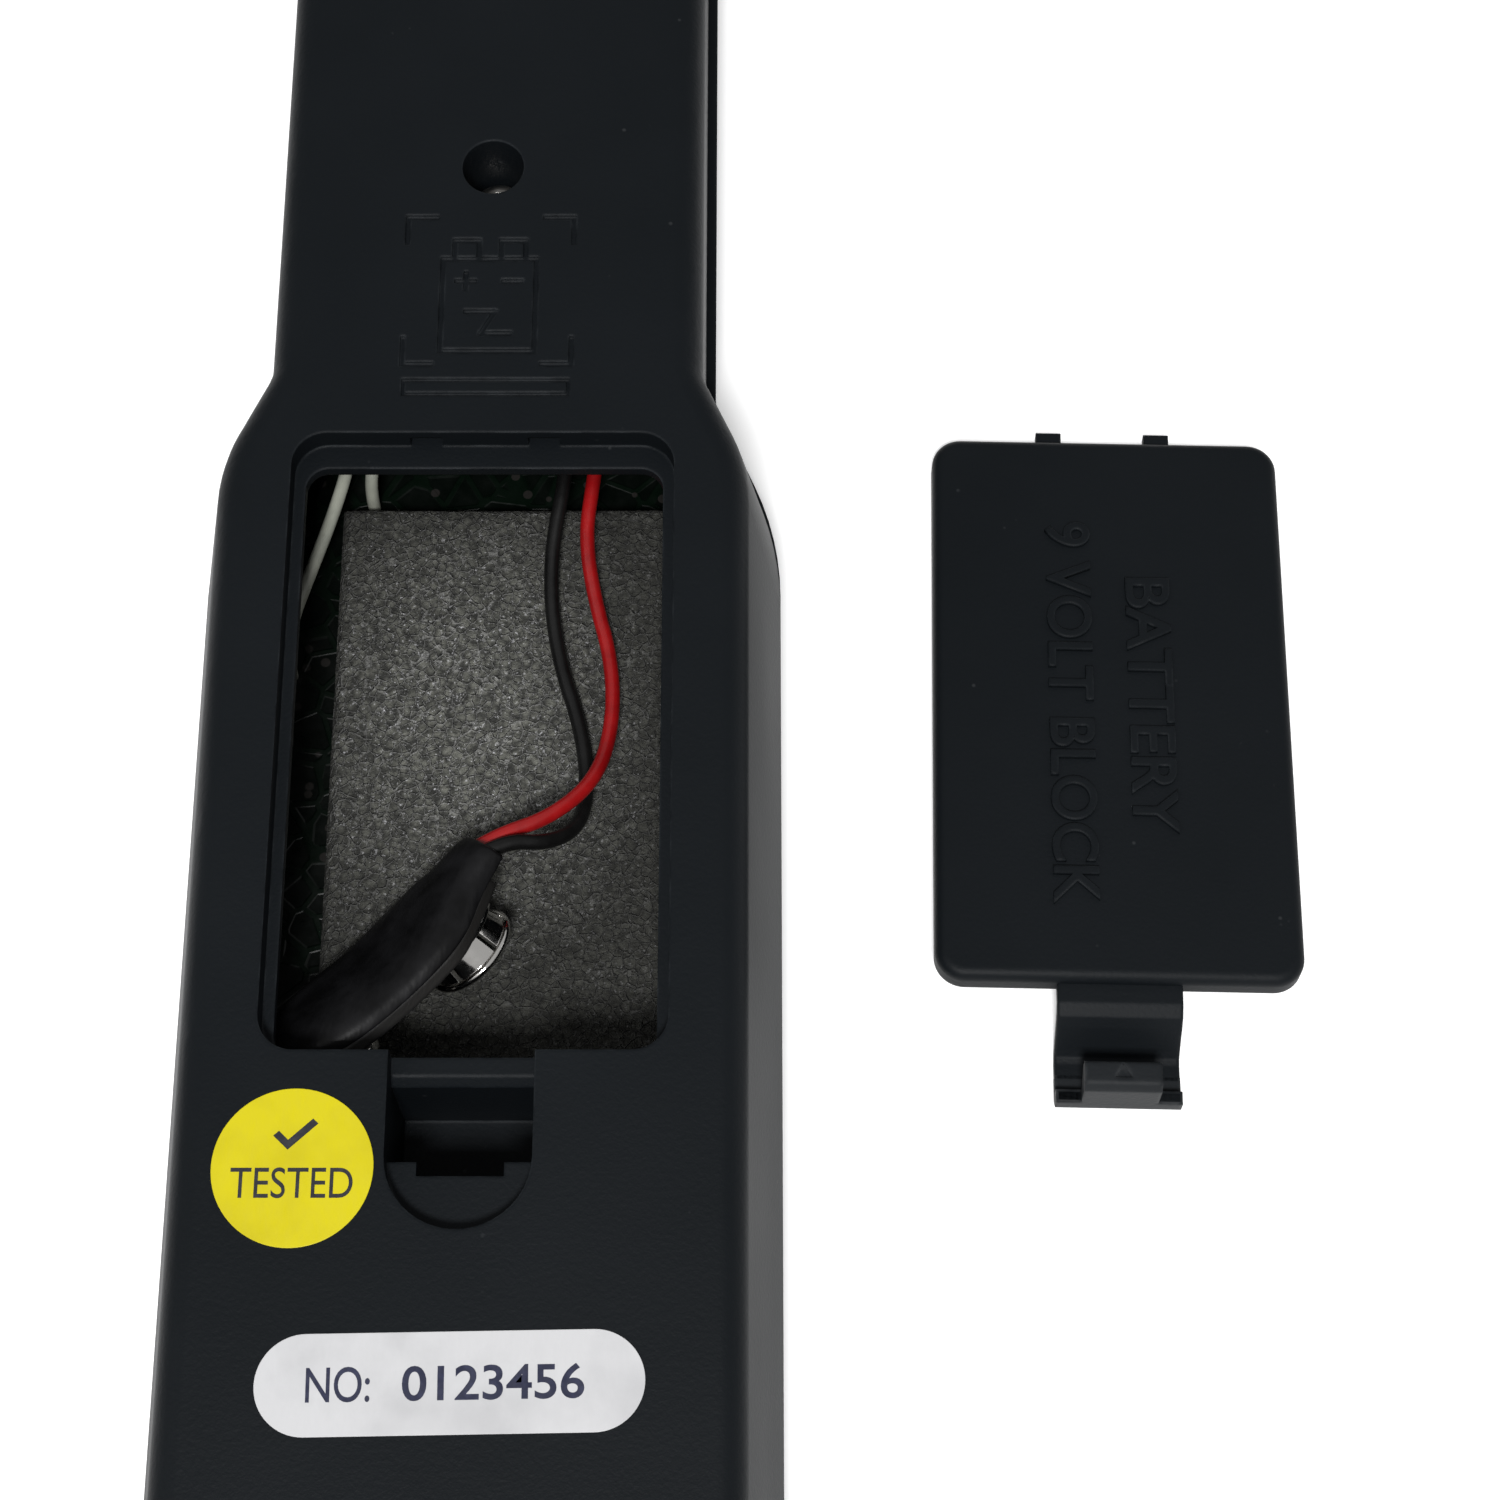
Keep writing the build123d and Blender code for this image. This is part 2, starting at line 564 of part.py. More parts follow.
def potentiometer_shaft():
    return rod(0, KNOB_Y, 0.95, BOARD_TOP + POT_HEIGHT - 1.8, SHAFT_RADIUS)


def buzzer_housing():
    low = BOARD_TOP
    cup = rod(0, BUZZER_Y, low, low + BUZZER_HEIGHT, BUZZER_RADIUS)
    cup -= rod(0, BUZZER_Y, low + 1.0, low + BUZZER_HEIGHT - 1.0, BUZZER_RADIUS - 0.9)
    return cup - rod(0, BUZZER_Y, low + 2.0, low + BUZZER_HEIGHT + OVER, 1.1)


def buzzer_disc():
    return rod(0, BUZZER_Y, BOARD_TOP + 3.0, BOARD_TOP + 3.3, BUZZER_RADIUS - 1.0)


def indicator_lamp():
    """Lamp under the board, its dome pointing out of the front face."""
    body = rod(0, LAMP_Y, 2.3, BOARD_BOTTOM, LAMP_RADIUS)
    body += Pos(0, LAMP_Y, 2.3) * Sphere(LAMP_RADIUS)
    return body + rod(0, LAMP_Y, BOARD_BOTTOM - 0.6, BOARD_BOTTOM, LAMP_RADIUS + 0.4)


def lamp_lens():
    """Clear cap in the front plate, hollow behind so that the lamp reaches in."""
    cap = rod(0, LAMP_Y, 0.1, PLATE, LENS_RADIUS - 0.02)
    cap = fillet(cap.faces().sort_by(Axis.Z)[0].edges(), 0.3)
    return cap - rod(0, LAMP_Y, 0.7, PLATE + OVER, LAMP_RADIUS + 0.3)


# ---------------------------------------------------------------- battery snap
def snap_place():
    """The snap's own axes: X along its length from the lead end, Y across, Z out of the terminals."""
    heading, lean = radians(SNAP_HEADING), radians(SNAP_LEAN)
    along = Vector(cos(heading), sin(heading), 0)
    level = Vector(-sin(heading), cos(heading), 0)
    normal = level * cos(lean) - Vector(0, 0, sin(lean))
    edge_below = SNAP_WIDTH / 2 * cos(lean) + SNAP_BASE * sin(lean)
    rim_out = SNAP_BASE + FLANGE + SOCKET_HEIGHT
    rim_below = (SOCKET_RADIUS + 0.2) * cos(lean) + rim_out * sin(lean)
    bend_lift = SNAP_BEND * (1 - cos(SNAP_PITCH / 2 / SNAP_BEND)) * sin(lean)
    height = FOAM_UP + SNAP_REST_GAP + max(edge_below, rim_below - bend_lift)
    return Plane(origin=(*SNAP_AT, height), x_dir=along, z_dir=normal).location


def snap_plan(inset=0.0):
    """Pinched at the lead end, full width in the middle and round at the far end."""
    half, end = SNAP_WIDTH / 2 - inset, SNAP_LENGTH / 2 - inset
    snout = SNOUT_HALF - inset / 2
    body_start = -end + 6.5
    side = [(-end, snout), (body_start, half), (end, half)]
    mirrored = [(x, -y) for x, y in reversed(side)]
    radii = [0.6, 6.0, half - 0.6]
    return make_face(FilletPolyline(*side, *mirrored, radius=radii + radii[::-1], close=True))


def bent_sheet(low, high):
    """A curved sheet between two heights above the snap's middle layer."""
    outer = Cylinder(SNAP_BEND + high, 2 * SNAP_WIDTH)
    inner = Cylinder(SNAP_BEND + low, 3 * SNAP_WIDTH)
    return Pos(0, 0, -SNAP_BEND) * Rot(90, 0, 0) * (outer - inner)


def on_bend(side):
    """Local axes of one terminal, standing square on the bent sheet."""
    angle = degrees(side * SNAP_PITCH / 2 / SNAP_BEND)
    return Pos(0, 0, -SNAP_BEND) * Rot(0, angle, 0) * Pos(0, 0, SNAP_BEND)


def snap_base():
    prism = Pos(0, 0, -SNAP_WIDTH / 2) * extrude(snap_plan(0.25), SNAP_WIDTH)
    return prism & bent_sheet(0, SNAP_BASE)


def snap_cover():
    """Soft moulded back, hollow over the rivets."""
    prism = Pos(0, 0, -SNAP_WIDTH / 2) * extrude(snap_plan(), SNAP_WIDTH)
    cover = prism & bent_sheet(-SNAP_COVER, 0)
    back = cover.faces().filter_by(GeomType.CYLINDER).sort_by(SortBy.AREA)[-2:].sort_by(Axis.Z)[0]
    cover = fillet(back.outer_wire().edges(), 0.9)
    rivet_room = [on_bend(side) * Pos(0, 0, -0.5) * Cylinder(1.8, 1.01) for side in (-1, 1)]
    return cover - rivet_room


def snap_socket():
    """Large terminal: a ring of springy petals on a riveted flange."""
    waist = SOCKET_RADIUS - SOCKET_FLARE
    ring = Cone(waist, SOCKET_RADIUS, SOCKET_HEIGHT)
    ring -= Cone(waist - SOCKET_WALL, SOCKET_RADIUS - SOCKET_WALL, SOCKET_HEIGHT)
    foot = SNAP_BASE + FLANGE
    middle = foot + SOCKET_HEIGHT / 2
    ring = Pos(0, 0, middle) * ring
    for step in range(SOCKET_SLITS // 2):
        slit = Pos(0, 0, middle + 0.5) * Rot(0, 0, 180 * step / (SOCKET_SLITS // 2) + 12)
        ring -= slit * Box(3 * SOCKET_RADIUS, 0.5, SOCKET_HEIGHT)
    ring += Pos(0, 0, SNAP_BASE + FLANGE / 2) * Cylinder(SOCKET_RADIUS + 0.35, FLANGE)
    ring += Pos(0, 0, foot + SOCKET_HEIGHT - 0.35) * Torus(SOCKET_RADIUS - 0.15, 0.35)
    return on_bend(-1) * (ring - rivet_hole())


def snap_stud():
    """Small terminal: a waisted post with a domed end."""
    foot = SNAP_BASE + FLANGE
    post = Pos(0, 0, SNAP_BASE + FLANGE / 2) * Cylinder(STUD_RADIUS + 0.5, FLANGE)
    post += Pos(0, 0, foot + STUD_HEIGHT / 2) * Cylinder(STUD_RADIUS, STUD_HEIGHT)
    post = post - Pos(0, 0, foot + 0.9) * Torus(STUD_RADIUS + 0.25, 0.7)
    post = fillet(post.faces().sort_by(Axis.Z)[-1].edges(), 0.7)
    return on_bend(1) * (post - rivet_hole())


def rivet_hole():
    """Clears the crown of the bent base under a terminal's flange."""
    return Pos(0, 0, SNAP_BASE - 0.5) * Cylinder(RIVET_RADIUS, 1.4)


def snap_rivets():
    """The two rivets that hold the terminals, seen only inside the cover."""
    return [on_bend(side) * Pos(0, 0, -0.35) * Cylinder(RIVET_RADIUS, 0.5) for side in (-1, 1)]


# ---------------------------------------------------------------- battery door and latch
def door_size():
    return SEAT_WIDTH - 2 * DOOR_GAP, SEAT_LENGTH - 2 * DOOR_GAP


def door_place():
    """Where the loose door lies: its tab end and the bottom of its latch strap touch the ground."""
    half_y = door_size()[1] / 2
    strap_low = STRAP_DROP + STRAP_THICKNESS / 2
    strap_y = -half_y - (STRAP_TURN_AT + HINGE_AT) / 2
    tab_end = half_y + TAB_LENGTH
    tilt = atan2(strap_low - SEAT_DEPTH, tab_end - strap_y)
    height = SEAT_DEPTH * cos(tilt) + tab_end * sin(tilt) + REST_GAP
    return Pos(*DOOR_REST, height) * Rot(0, 0, DOOR_TURN) * Rot(-degrees(tilt), 0, 0)


def door_panel():
    """Plate with a hollow underside, made with its face at Z 0 and its latch end at -Y."""
    width, length = door_size()
    panel = rounded_slab(width, length, -SEAT_DEPTH, 0, SEAT_CORNER - DOOR_GAP)
    panel = fillet(panel.faces().sort_by(Axis.Z)[-1].outer_wire().edges(), DOOR_ROUND)
    hollow_depth = SEAT_DEPTH - DOOR_SKIN
    hollow = rounded_slab(width - 2 * DOOR_RIM, length - 2 * DOOR_RIM, -SEAT_DEPTH - OVER, -DOOR_SKIN, 1.5)
    panel -= hollow
    reach, rib_top = width / 2 - 1, -DOOR_SKIN + 0.2
    panel += [slab(-reach, reach, y - 0.5, y + 0.5, -SEAT_DEPTH, rib_top) for y in (-9, 9)]
    for x in (-TAB_X, TAB_X):
        root, tip = length / 2 - DOOR_RIM, length / 2 + TAB_LENGTH
        tab = slab(x - TAB_WIDTH / 2, x + TAB_WIDTH / 2, root, tip, -SEAT_DEPTH, -SEAT_DEPTH + TAB_THICKNESS)
        panel += tab
    pad_half = STRAP_WIDTH / 2
    pad = slab(-pad_half, pad_half, -length / 2, -length / 2 + 3.0, -SEAT_DEPTH, -DOOR_SKIN + 0.2)
    return panel + pad


def strap_profile():
    """Side view of the strap's inner leg: out of the door's edge, down and into the U's bottom."""
    level, drop = -STRAP_ROOT_DEPTH, -STRAP_DROP
    points = [(-0.0, level), (STRAP_LEVEL, level), (STRAP_TURN_AT, drop), (HINGE_AT, drop)]
    centre = FilletPolyline(*points, radius=[1.8, 1.3])
    return trace(centre, line_width=STRAP_THICKNESS)


def across_latch(profile, half_width):
    """Extrudes a side view (distance from the door's edge, height) across the door."""
    edge = -door_size()[1] / 2
    plane = Plane(origin=(-half_width, edge, 0), x_dir=(0, -1, 0), z_dir=(-1, 0, 0))
    return extrude(plane * profile, -2 * half_width)


def latch_strap():
    return across_latch(strap_profile(), STRAP_WIDTH / 2)


def latch_tongue():
    """Outer leg with two catch ears and the thumb block between them."""
    low = -STRAP_DROP - STRAP_THICKNESS / 2
    start, wall = HINGE_AT + HINGE_GAP, TONGUE_OUTER - TONGUE_WALL
    leg = [(start, low), (TONGUE_OUTER - 0.8, low), (TONGUE_OUTER, low + 0.9), (TONGUE_OUTER, -EAR_TOP)]
    leg += [(wall, -EAR_TOP), (wall, low + STRAP_THICKNESS + 0.4), (wall - 0.4, low + STRAP_THICKNESS)]
    leg += [(start, low + STRAP_THICKNESS)]
    body = across_latch(make_face(Polyline(*leg, close=True)), STRAP_WIDTH / 2)
    block = [(wall + 0.1, -EAR_TOP - 0.6), (TONGUE_OUTER, -EAR_TOP - 0.6), (TONGUE_OUTER, -1.1)]
    block += [(TONGUE_OUTER - 0.5, -THUMB_TOP), (THUMB_INNER, -THUMB_TOP), (THUMB_INNER, -1.8)]
    block += [(wall + 0.1, -EAR_TOP + 0.6)]
    thumb = across_latch(make_face(Polyline(*block, close=True)), THUMB_WIDTH / 2)
    thumb = fillet(thumb.edges().filter_by(Axis.X).sort_by(Axis.Z)[-2:], 0.35)
    arrow_y = -door_size()[1] / 2 - (THUMB_INNER + TONGUE_OUTER) / 2 + 0.2
    arrow = Pos(0, arrow_y, -THUMB_TOP - 0.25) * extrude(Triangle(a=1.5, b=1.5, c=1.5), 0.6)
    return body + thumb - arrow


# ---------------------------------------------------------------- leads
def lead_ends():
    """Middle of the snap's mouth, the direction across it and the direction out of it."""
    end_angle = degrees(-SNAP_LENGTH / 2 / SNAP_BEND)
    turned = snap_place() * Pos(0, 0, -SNAP_BEND) * Rot(0, end_angle, 0) * Pos(0, 0, SNAP_BEND)
    place = Plane(turned)
    mouth = place.from_local_coords(Vector(-MOUTH_GAP, 0, -SNAP_COVER / 2))
    outward = (place.x_dir * -1).rotate(Axis(mouth, place.y_dir), EXIT_TURN)
    return mouth, place.y_dir * 1.5, outward


RED_ROUTE = [(9.5, 21.6, BOARD_TOP), (9.5, 21.6, 9.4), (9.4, 19.2, 12.4), (9.0, 14.6, 13.2), (8.3, 9.4, 12.3),
             (9.2, 3.6, 11.6), (10.9, -2.6, 11.6), (11.2, -9.0, 12.4), (9.9, -15.0, 13.9), (6.0, -19.4, 16.0)]
BLACK_ROUTE = [(6.4, 21.6, BOARD_TOP), (6.4, 21.6, 9.4), (6.4, 19.0, 12.2), (6.3, 14.2, 13.0), (5.3, 9.2, 12.0),
               (5.2, 3.4, 11.2), (6.2, -2.8, 10.9), (8.2, -8.8, 10.9), (9.0, -14.6, 11.4), (8.5, -19.4, 13.8),
               (6.0, -22.0, 16.6)]
WIRE_ROUTE_LONG = [(-5.6, 66.0, 16.4), (-5.6, 61.8, 16.4), (-9.4, 57.6, 15.4), (-13.0, 51.2, 13.6),
                   (-14.3, 42.0, 12.6), (-13.6, 32.0, 12.4), (-13.3, 24.0, 12.4), (-13.6, 17.2, 12.2),
                   (-15.0, 11.6, 11.9), (-16.9, 6.0, 11.3), (-18.6, 1.4, 10.2), (-18.8, -1.8, 8.2),
                   (-18.8, -1.8, BOARD_TOP)]
WIRE_ROUTE_SHORT = [(-3.4, 66.0, 18.8), (-3.4, 62.4, 18.8), (-6.8, 57.6, 17.8), (-10.6, 50.6, 15.6),
                    (-12.0, 41.0, 14.2), (-11.2, 31.0, 14.0), (-10.8, 23.0, 13.4), (-11.3, 18.0, 12.4),
                    (-11.9, 15.2, 10.6), (-11.9, 15.2, BOARD_TOP)]


def lead(name, route, side):
    """A supply lead from its joint on the board to the snap's mouth."""
    mouth, across, outward = lead_ends()
    end = mouth + across * side * 0.6
    points = [*route, tuple(end + outward * 2.8), tuple(end)]
    print(name, "route ends", [[round(v, 2) for v in p] for p in points[-2:]])
    return cable(name, points, LEAD_RADIUS)


# ---------------------------------------------------------------- stickers and small trim
def round_sticker():
    return rod(*DOT_AT, BACK, BACK + STICKER, DOT_RADIUS)


def serial_label():
    plan = SlotOverall(LABEL[0], LABEL[1])
    return Pos(0, LABEL_Y, BACK) * Rot(0, 0, LABEL_TURN) * extrude(plan, STICKER)


def front_panel_label():
    return Pos(0, PANEL_Y, 0.1) * extrude(RectangleRounded(PANEL[0], PANEL[1], 2.0), PANEL[2])


def foam_pad():
    low_y = CROSSBAR_TOP_Y + SKIN_GAP
    return slab(FOAM_LEFT, FOAM_RIGHT, low_y, FOAM_TOP, BOARD_TOP, FOAM_UP)


# ---------------------------------------------------------------- write every sub-part
def main():
    os.makedirs("parts", exist_ok=True)
    write("rear_shell", rear_shell())
    write("front_shell", front_shell())
    size = (HEAD_RADIUS, HEAD_HEIGHT, SHANK_RADIUS, SHANK_LENGTH)
    write("case_screws", *[screw(x, y, WELL_FLOOR, *size) for x, y in screw_sites()])
    write("circuit_board", circuit_board())
    write("board_screws", *[screw(x, y, BOARD_TOP, 1.9, 1.3, 0.9, 3.2) for x, y in BOARD_SCREWS])
    write("battery_foam_pad", foam_pad())
    write("ferrite_rod", lying(Cylinder(ROD_RADIUS, ROD_LENGTH)))
    write("coil_bobbin", lying(bobbin()))
    write("coil_winding", lying(winding()))
    write("potentiometer_body", potentiometer_body())
    write("potentiometer_shaft", potentiometer_shaft())
    write("sensitivity_knob", knob())
    write("knob_pointer", knob_pointer())
    write("buzzer_housing", buzzer_housing())
    write("buzzer_disc", buzzer_disc())
    write("indicator_lamp", indicator_lamp())
    write("lamp_lens", lamp_lens())
    write("amplifier_chip", chip(8.8, 46.2))
    write("comparator_chip", chip(-7.6, 46.6, width=5.2))
    write("capacitors", *[capacitor(x, y) for x, y in CAPACITORS])
    write("resistors", *[resistor(-5.0, 22.0 + 3.0 * step) for step in range(5)])
    write("round_sticker", round_sticker())
    write("serial_label", serial_label())
    write("front_panel_label", front_panel_label())

    place = snap_place()
    write("snap_cover", place * snap_cover())
    write("snap_base", place * snap_base())
    write("snap_socket", place * snap_socket())
    write("snap_stud", place * snap_stud())
    write("snap_rivets", *[place * rivet for rivet in snap_rivets()])
    write("red_lead", lead("red_lead", RED_ROUTE, 1))
    write("black_lead", lead("black_lead", BLACK_ROUTE, -1))
    write("sensor_wire_long", cable("sensor_wire_long", WIRE_ROUTE_LONG, WIRE_RADIUS))
    write("sensor_wire_short", cable("sensor_wire_short", WIRE_ROUTE_SHORT, WIRE_RADIUS))

    lying_door = door_place()
    write("door_panel", lying_door * door_panel())
    write("latch_strap", lying_door * latch_strap())
    write("latch_tongue", lying_door * latch_tongue())


main()
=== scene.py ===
import bpy
from math import atan2, cos, pi, radians, sin
from mathutils import Matrix, Vector, noise


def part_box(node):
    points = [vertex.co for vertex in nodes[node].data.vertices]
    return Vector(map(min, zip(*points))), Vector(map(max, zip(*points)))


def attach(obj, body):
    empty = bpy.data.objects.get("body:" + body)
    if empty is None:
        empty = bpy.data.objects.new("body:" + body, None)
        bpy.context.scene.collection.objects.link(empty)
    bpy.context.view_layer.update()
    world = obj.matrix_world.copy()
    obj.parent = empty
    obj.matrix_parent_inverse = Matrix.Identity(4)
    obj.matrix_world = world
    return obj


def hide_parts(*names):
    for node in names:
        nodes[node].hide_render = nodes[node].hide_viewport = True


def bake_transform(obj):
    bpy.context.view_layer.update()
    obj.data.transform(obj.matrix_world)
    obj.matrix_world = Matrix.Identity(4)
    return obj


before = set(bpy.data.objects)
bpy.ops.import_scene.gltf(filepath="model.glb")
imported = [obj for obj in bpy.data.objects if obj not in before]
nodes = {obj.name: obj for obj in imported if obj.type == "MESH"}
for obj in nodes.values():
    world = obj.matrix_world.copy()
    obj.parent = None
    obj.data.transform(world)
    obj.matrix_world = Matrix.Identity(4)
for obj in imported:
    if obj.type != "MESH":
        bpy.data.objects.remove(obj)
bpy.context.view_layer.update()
MM = 0.001

# ---------------------------------------------------------------- camera
camera = bpy.data.objects.new("camera", bpy.data.cameras.new("camera"))
bpy.context.scene.collection.objects.link(camera)
camera.location = (0.0234, -0.11119, 0.26512)
camera.rotation_euler = (radians(21.5), 0, 0)
camera.data.lens = 73.2
camera.data.sensor_width = 36
camera.data.clip_start = 0.01
bpy.context.scene.camera = camera


# ---------------------------------------------------------------- shader helpers
class Paint:
    """One node material, built up call by call."""

    def __init__(self, name, color=(0.5, 0.5, 0.5), roughness=0.5, **fixed):
        self.material = bpy.data.materials.new(name)
        self.material.use_nodes = True
        self.tree = self.material.node_tree
        self.shader = self.tree.nodes["Principled BSDF"]
        self.shader.inputs["Base Color"].default_value = (*color, 1)
        self.shader.inputs["Roughness"].default_value = roughness
        for key, value in fixed.items():
            self.shader.inputs[key.replace("_", " ")].default_value = value
        self.place = self.node("ShaderNodeTexCoord").outputs["Object"]

    def node(self, kind, links=(), **values):
        made = self.tree.nodes.new(kind)
        for key, value in values.items():
            if hasattr(made, key):
                setattr(made, key, value)
            else:
                made.inputs[key.replace("_", " ")].default_value = value
        for socket, source in dict(links).items():
            self.tree.links.new(source, made.inputs[socket])
        return made

    def noise(self, scale, detail=3.0, rough=0.55, stretch=(1, 1, 1), turn=(0, 0, 0)):
        place = self.node("ShaderNodeMapping", {"Vector": self.place})
        place.inputs["Scale"].default_value = stretch
        place.inputs["Rotation"].default_value = turn
        made = self.node("ShaderNodeTexNoise", {"Vector": place.outputs[0]})
        made.inputs["Scale"].default_value = scale
        made.inputs["Detail"].default_value = detail
        made.inputs["Roughness"].default_value = rough
        return made.outputs["Fac"]

    def cells(self, scale, feature="F1"):
        made = self.node("ShaderNodeTexVoronoi", {"Vector": self.place}, feature=feature)
        made.inputs["Scale"].default_value = scale
        return made

    def ramp(self, value, low, high, out_low=0.0, out_high=1.0):
        made = self.node("ShaderNodeMapRange", {"Value": value})
        made.inputs["From Min"].default_value = low
        made.inputs["From Max"].default_value = high
        made.inputs["To Min"].default_value = out_low
        made.inputs["To Max"].default_value = out_high
        return made.outputs[0]

    def math(self, operation, a, b):
        made = self.node("ShaderNodeMath", operation=operation)
        for index, value in enumerate((a, b)):
            if isinstance(value, (int, float)):
                made.inputs[index].default_value = value
            else:
                self.tree.links.new(value, made.inputs[index])
        return made.outputs[0]

    def mix(self, factor, a, b):
        made = self.node("ShaderNodeMix", data_type="RGBA")
        self.tree.links.new(factor, made.inputs["Factor"])
        for socket, value in ((made.inputs[6], a), (made.inputs[7], b)):
            if isinstance(value, tuple):
                socket.default_value = (*value, 1)
            else:
                self.tree.links.new(value, socket)
        return made.outputs[2]

    def color(self, value):
        self.tree.links.new(value, self.shader.inputs["Base Color"])

    def roughness(self, value):
        self.tree.links.new(value, self.shader.inputs["Roughness"])

    def bump(self, *layers, bevel=0.0):
        """Stacks bump layers (height, distance in metres); bevel softens sharp edges first."""
        normal = None
        if bevel:
            soft = self.node("ShaderNodeBevel", samples=6)
            soft.inputs["Radius"].default_value = bevel
            normal = soft.outputs[0]
        for height, distance in layers:
            made = self.node("ShaderNodeBump", {"Height": height})
            made.inputs["Distance"].default_value = distance
            made.inputs["Strength"].default_value = 1.0
            if normal is not None:
                self.tree.links.new(normal, made.inputs["Normal"])
            normal = made.outputs[0]
        if normal is not None:
            self.tree.links.new(normal, self.shader.inputs["Normal"])

    def edges(self, radius, start, full):
        """1 on convex or concave edges within the radius, 0 on open faces."""
        soft = self.node("ShaderNodeBevel", samples=6)
        soft.inputs["Radius"].default_value = radius
        true = self.node("ShaderNodeNewGeometry").outputs["Normal"]
        facing = self.node("ShaderNodeVectorMath", operation="DOT_PRODUCT")
        self.tree.links.new(soft.outputs[0], facing.inputs[0])
        self.tree.links.new(true, facing.inputs[1])
        return self.ramp(facing.outputs["Value"], start, full)


def moulded(name, dark, light, rough=(0.42, 0.55), grain=2600, depth=0.00003, dust=0.5, bevel=0.0004,
            edge_wear_and_highlight=(0.035, 0.04, 0.045), specular=0.3):
    """Moulded plastic with a fine eroded grain, faint flow clouds, edges lightened partly as rubbed wear and
    partly as a painted highlight, and a little dust.
    """
    paint = Paint(name, light, 0.5, Specular_IOR_Level=specular)
    cloud = paint.noise(55, 4.0)
    grain_height = paint.noise(grain, 2.0, 0.6)
    base = paint.mix(paint.ramp(cloud, 0.3, 0.7), dark, light)
    rim = paint.edges(bevel * 0.8, 0.995, 0.8)
    # Edge lightening: partly rubbed wear, partly a painted highlight along the edges.
    rubbed_and_highlit_edge = paint.math("MULTIPLY", rim, paint.ramp(paint.noise(420), 0.4, 0.65))
    base = paint.mix(paint.math("MULTIPLY", rubbed_and_highlit_edge, 0.5), base, edge_wear_and_highlight)
    specks = paint.cells(700)
    spot = paint.ramp(specks.outputs["Distance"], 0.16, 0.08)
    sparse = paint.ramp(paint.noise(190, 1.0), 0.66, 0.7, 0.0, dust)
    base = paint.mix(paint.math("MULTIPLY", spot, sparse), base, (0.16, 0.165, 0.17))
    paint.color(base)
    handled = paint.noise(24, 3.0, stretch=(1, 0.4, 1))
    paint.roughness(paint.ramp(handled, 0.3, 0.7, *rough))
    paint.bump((grain_height, depth), (paint.noise(130, 2.0), 0.00002), bevel=bevel)
    return paint.material


def metal(name, color, rough=(0.12, 0.26), brushed=(1, 1, 1), tarnish=(0.30, 0.24, 0.16), amount=0.35):
    """Plated or turned metal with fine lay lines, smudges and slight tarnish in patches."""
    paint = Paint(name, color, 0.2, Metallic=1.0)
    patch = paint.ramp(paint.noise(260, 4.0), 0.52, 0.72, 0.0, amount)
    paint.color(paint.mix(patch, color, tarnish))
    paint.roughness(paint.ramp(paint.noise(700, 3.0, stretch=brushed), 0.3, 0.7, *rough))
    paint.bump((paint.noise(3500, 2.0, stretch=brushed), 0.000004), bevel=0.00012)
    return paint.material


def insulation(name, dark, light, rough=(0.28, 0.42), specular=0.5):
    """Extruded wire insulation: drawn lines, waxy gloss and a trace of chalk."""
    paint = Paint(name, light, 0.35, Specular_IOR_Level=specular, Coat_Weight=0.15, Coat_Roughness=0.25)
    paint.color(paint.mix(paint.ramp(paint.noise(240, 4.0), 0.35, 0.7), dark, light))
    paint.roughness(paint.ramp(paint.noise(900, 3.0), 0.3, 0.7, *rough))
    paint.bump((paint.noise(1500, 3.0, stretch=(1, 0.15, 1)), 0.000015))
    return paint.material


def paper(name, dark, light, rough=(0.35, 0.5), fibre=1800):
    """Printed satin label stock with faint fibres, handling marks and worn rim."""
    paint = Paint(name, light, 0.4, Specular_IOR_Level=0.4)
    fibres = paint.noise(fibre, 4.0, 0.7, stretch=(1, 0.35, 1), turn=(0, 0, 0.4))
    marks = paint.ramp(paint.noise(160, 5.0), 0.42, 0.75)
    base = paint.mix(marks, light, dark)
    paint.color(paint.mix(paint.ramp(fibres, 0.3, 0.8, 0.0, 0.25), base, dark))
    paint.roughness(paint.ramp(fibres, 0.3, 0.7, *rough))
    paint.bump((fibres, 0.000008), bevel=0.00008)
    return paint.material


def ink(name, color):
    """Printing ink, slightly uneven in density."""
    paint = Paint(name, color, 0.4)
    pale = tuple(min(1.0, c * 2.2 + 0.01) for c in color)
    paint.color(paint.mix(paint.ramp(paint.noise(2200, 3.0), 0.45, 0.75, 0.0, 0.5), color, pale))
    paint.roughness(paint.ramp(paint.noise(900), 0.3, 0.7, 0.32, 0.5))
    return paint.material


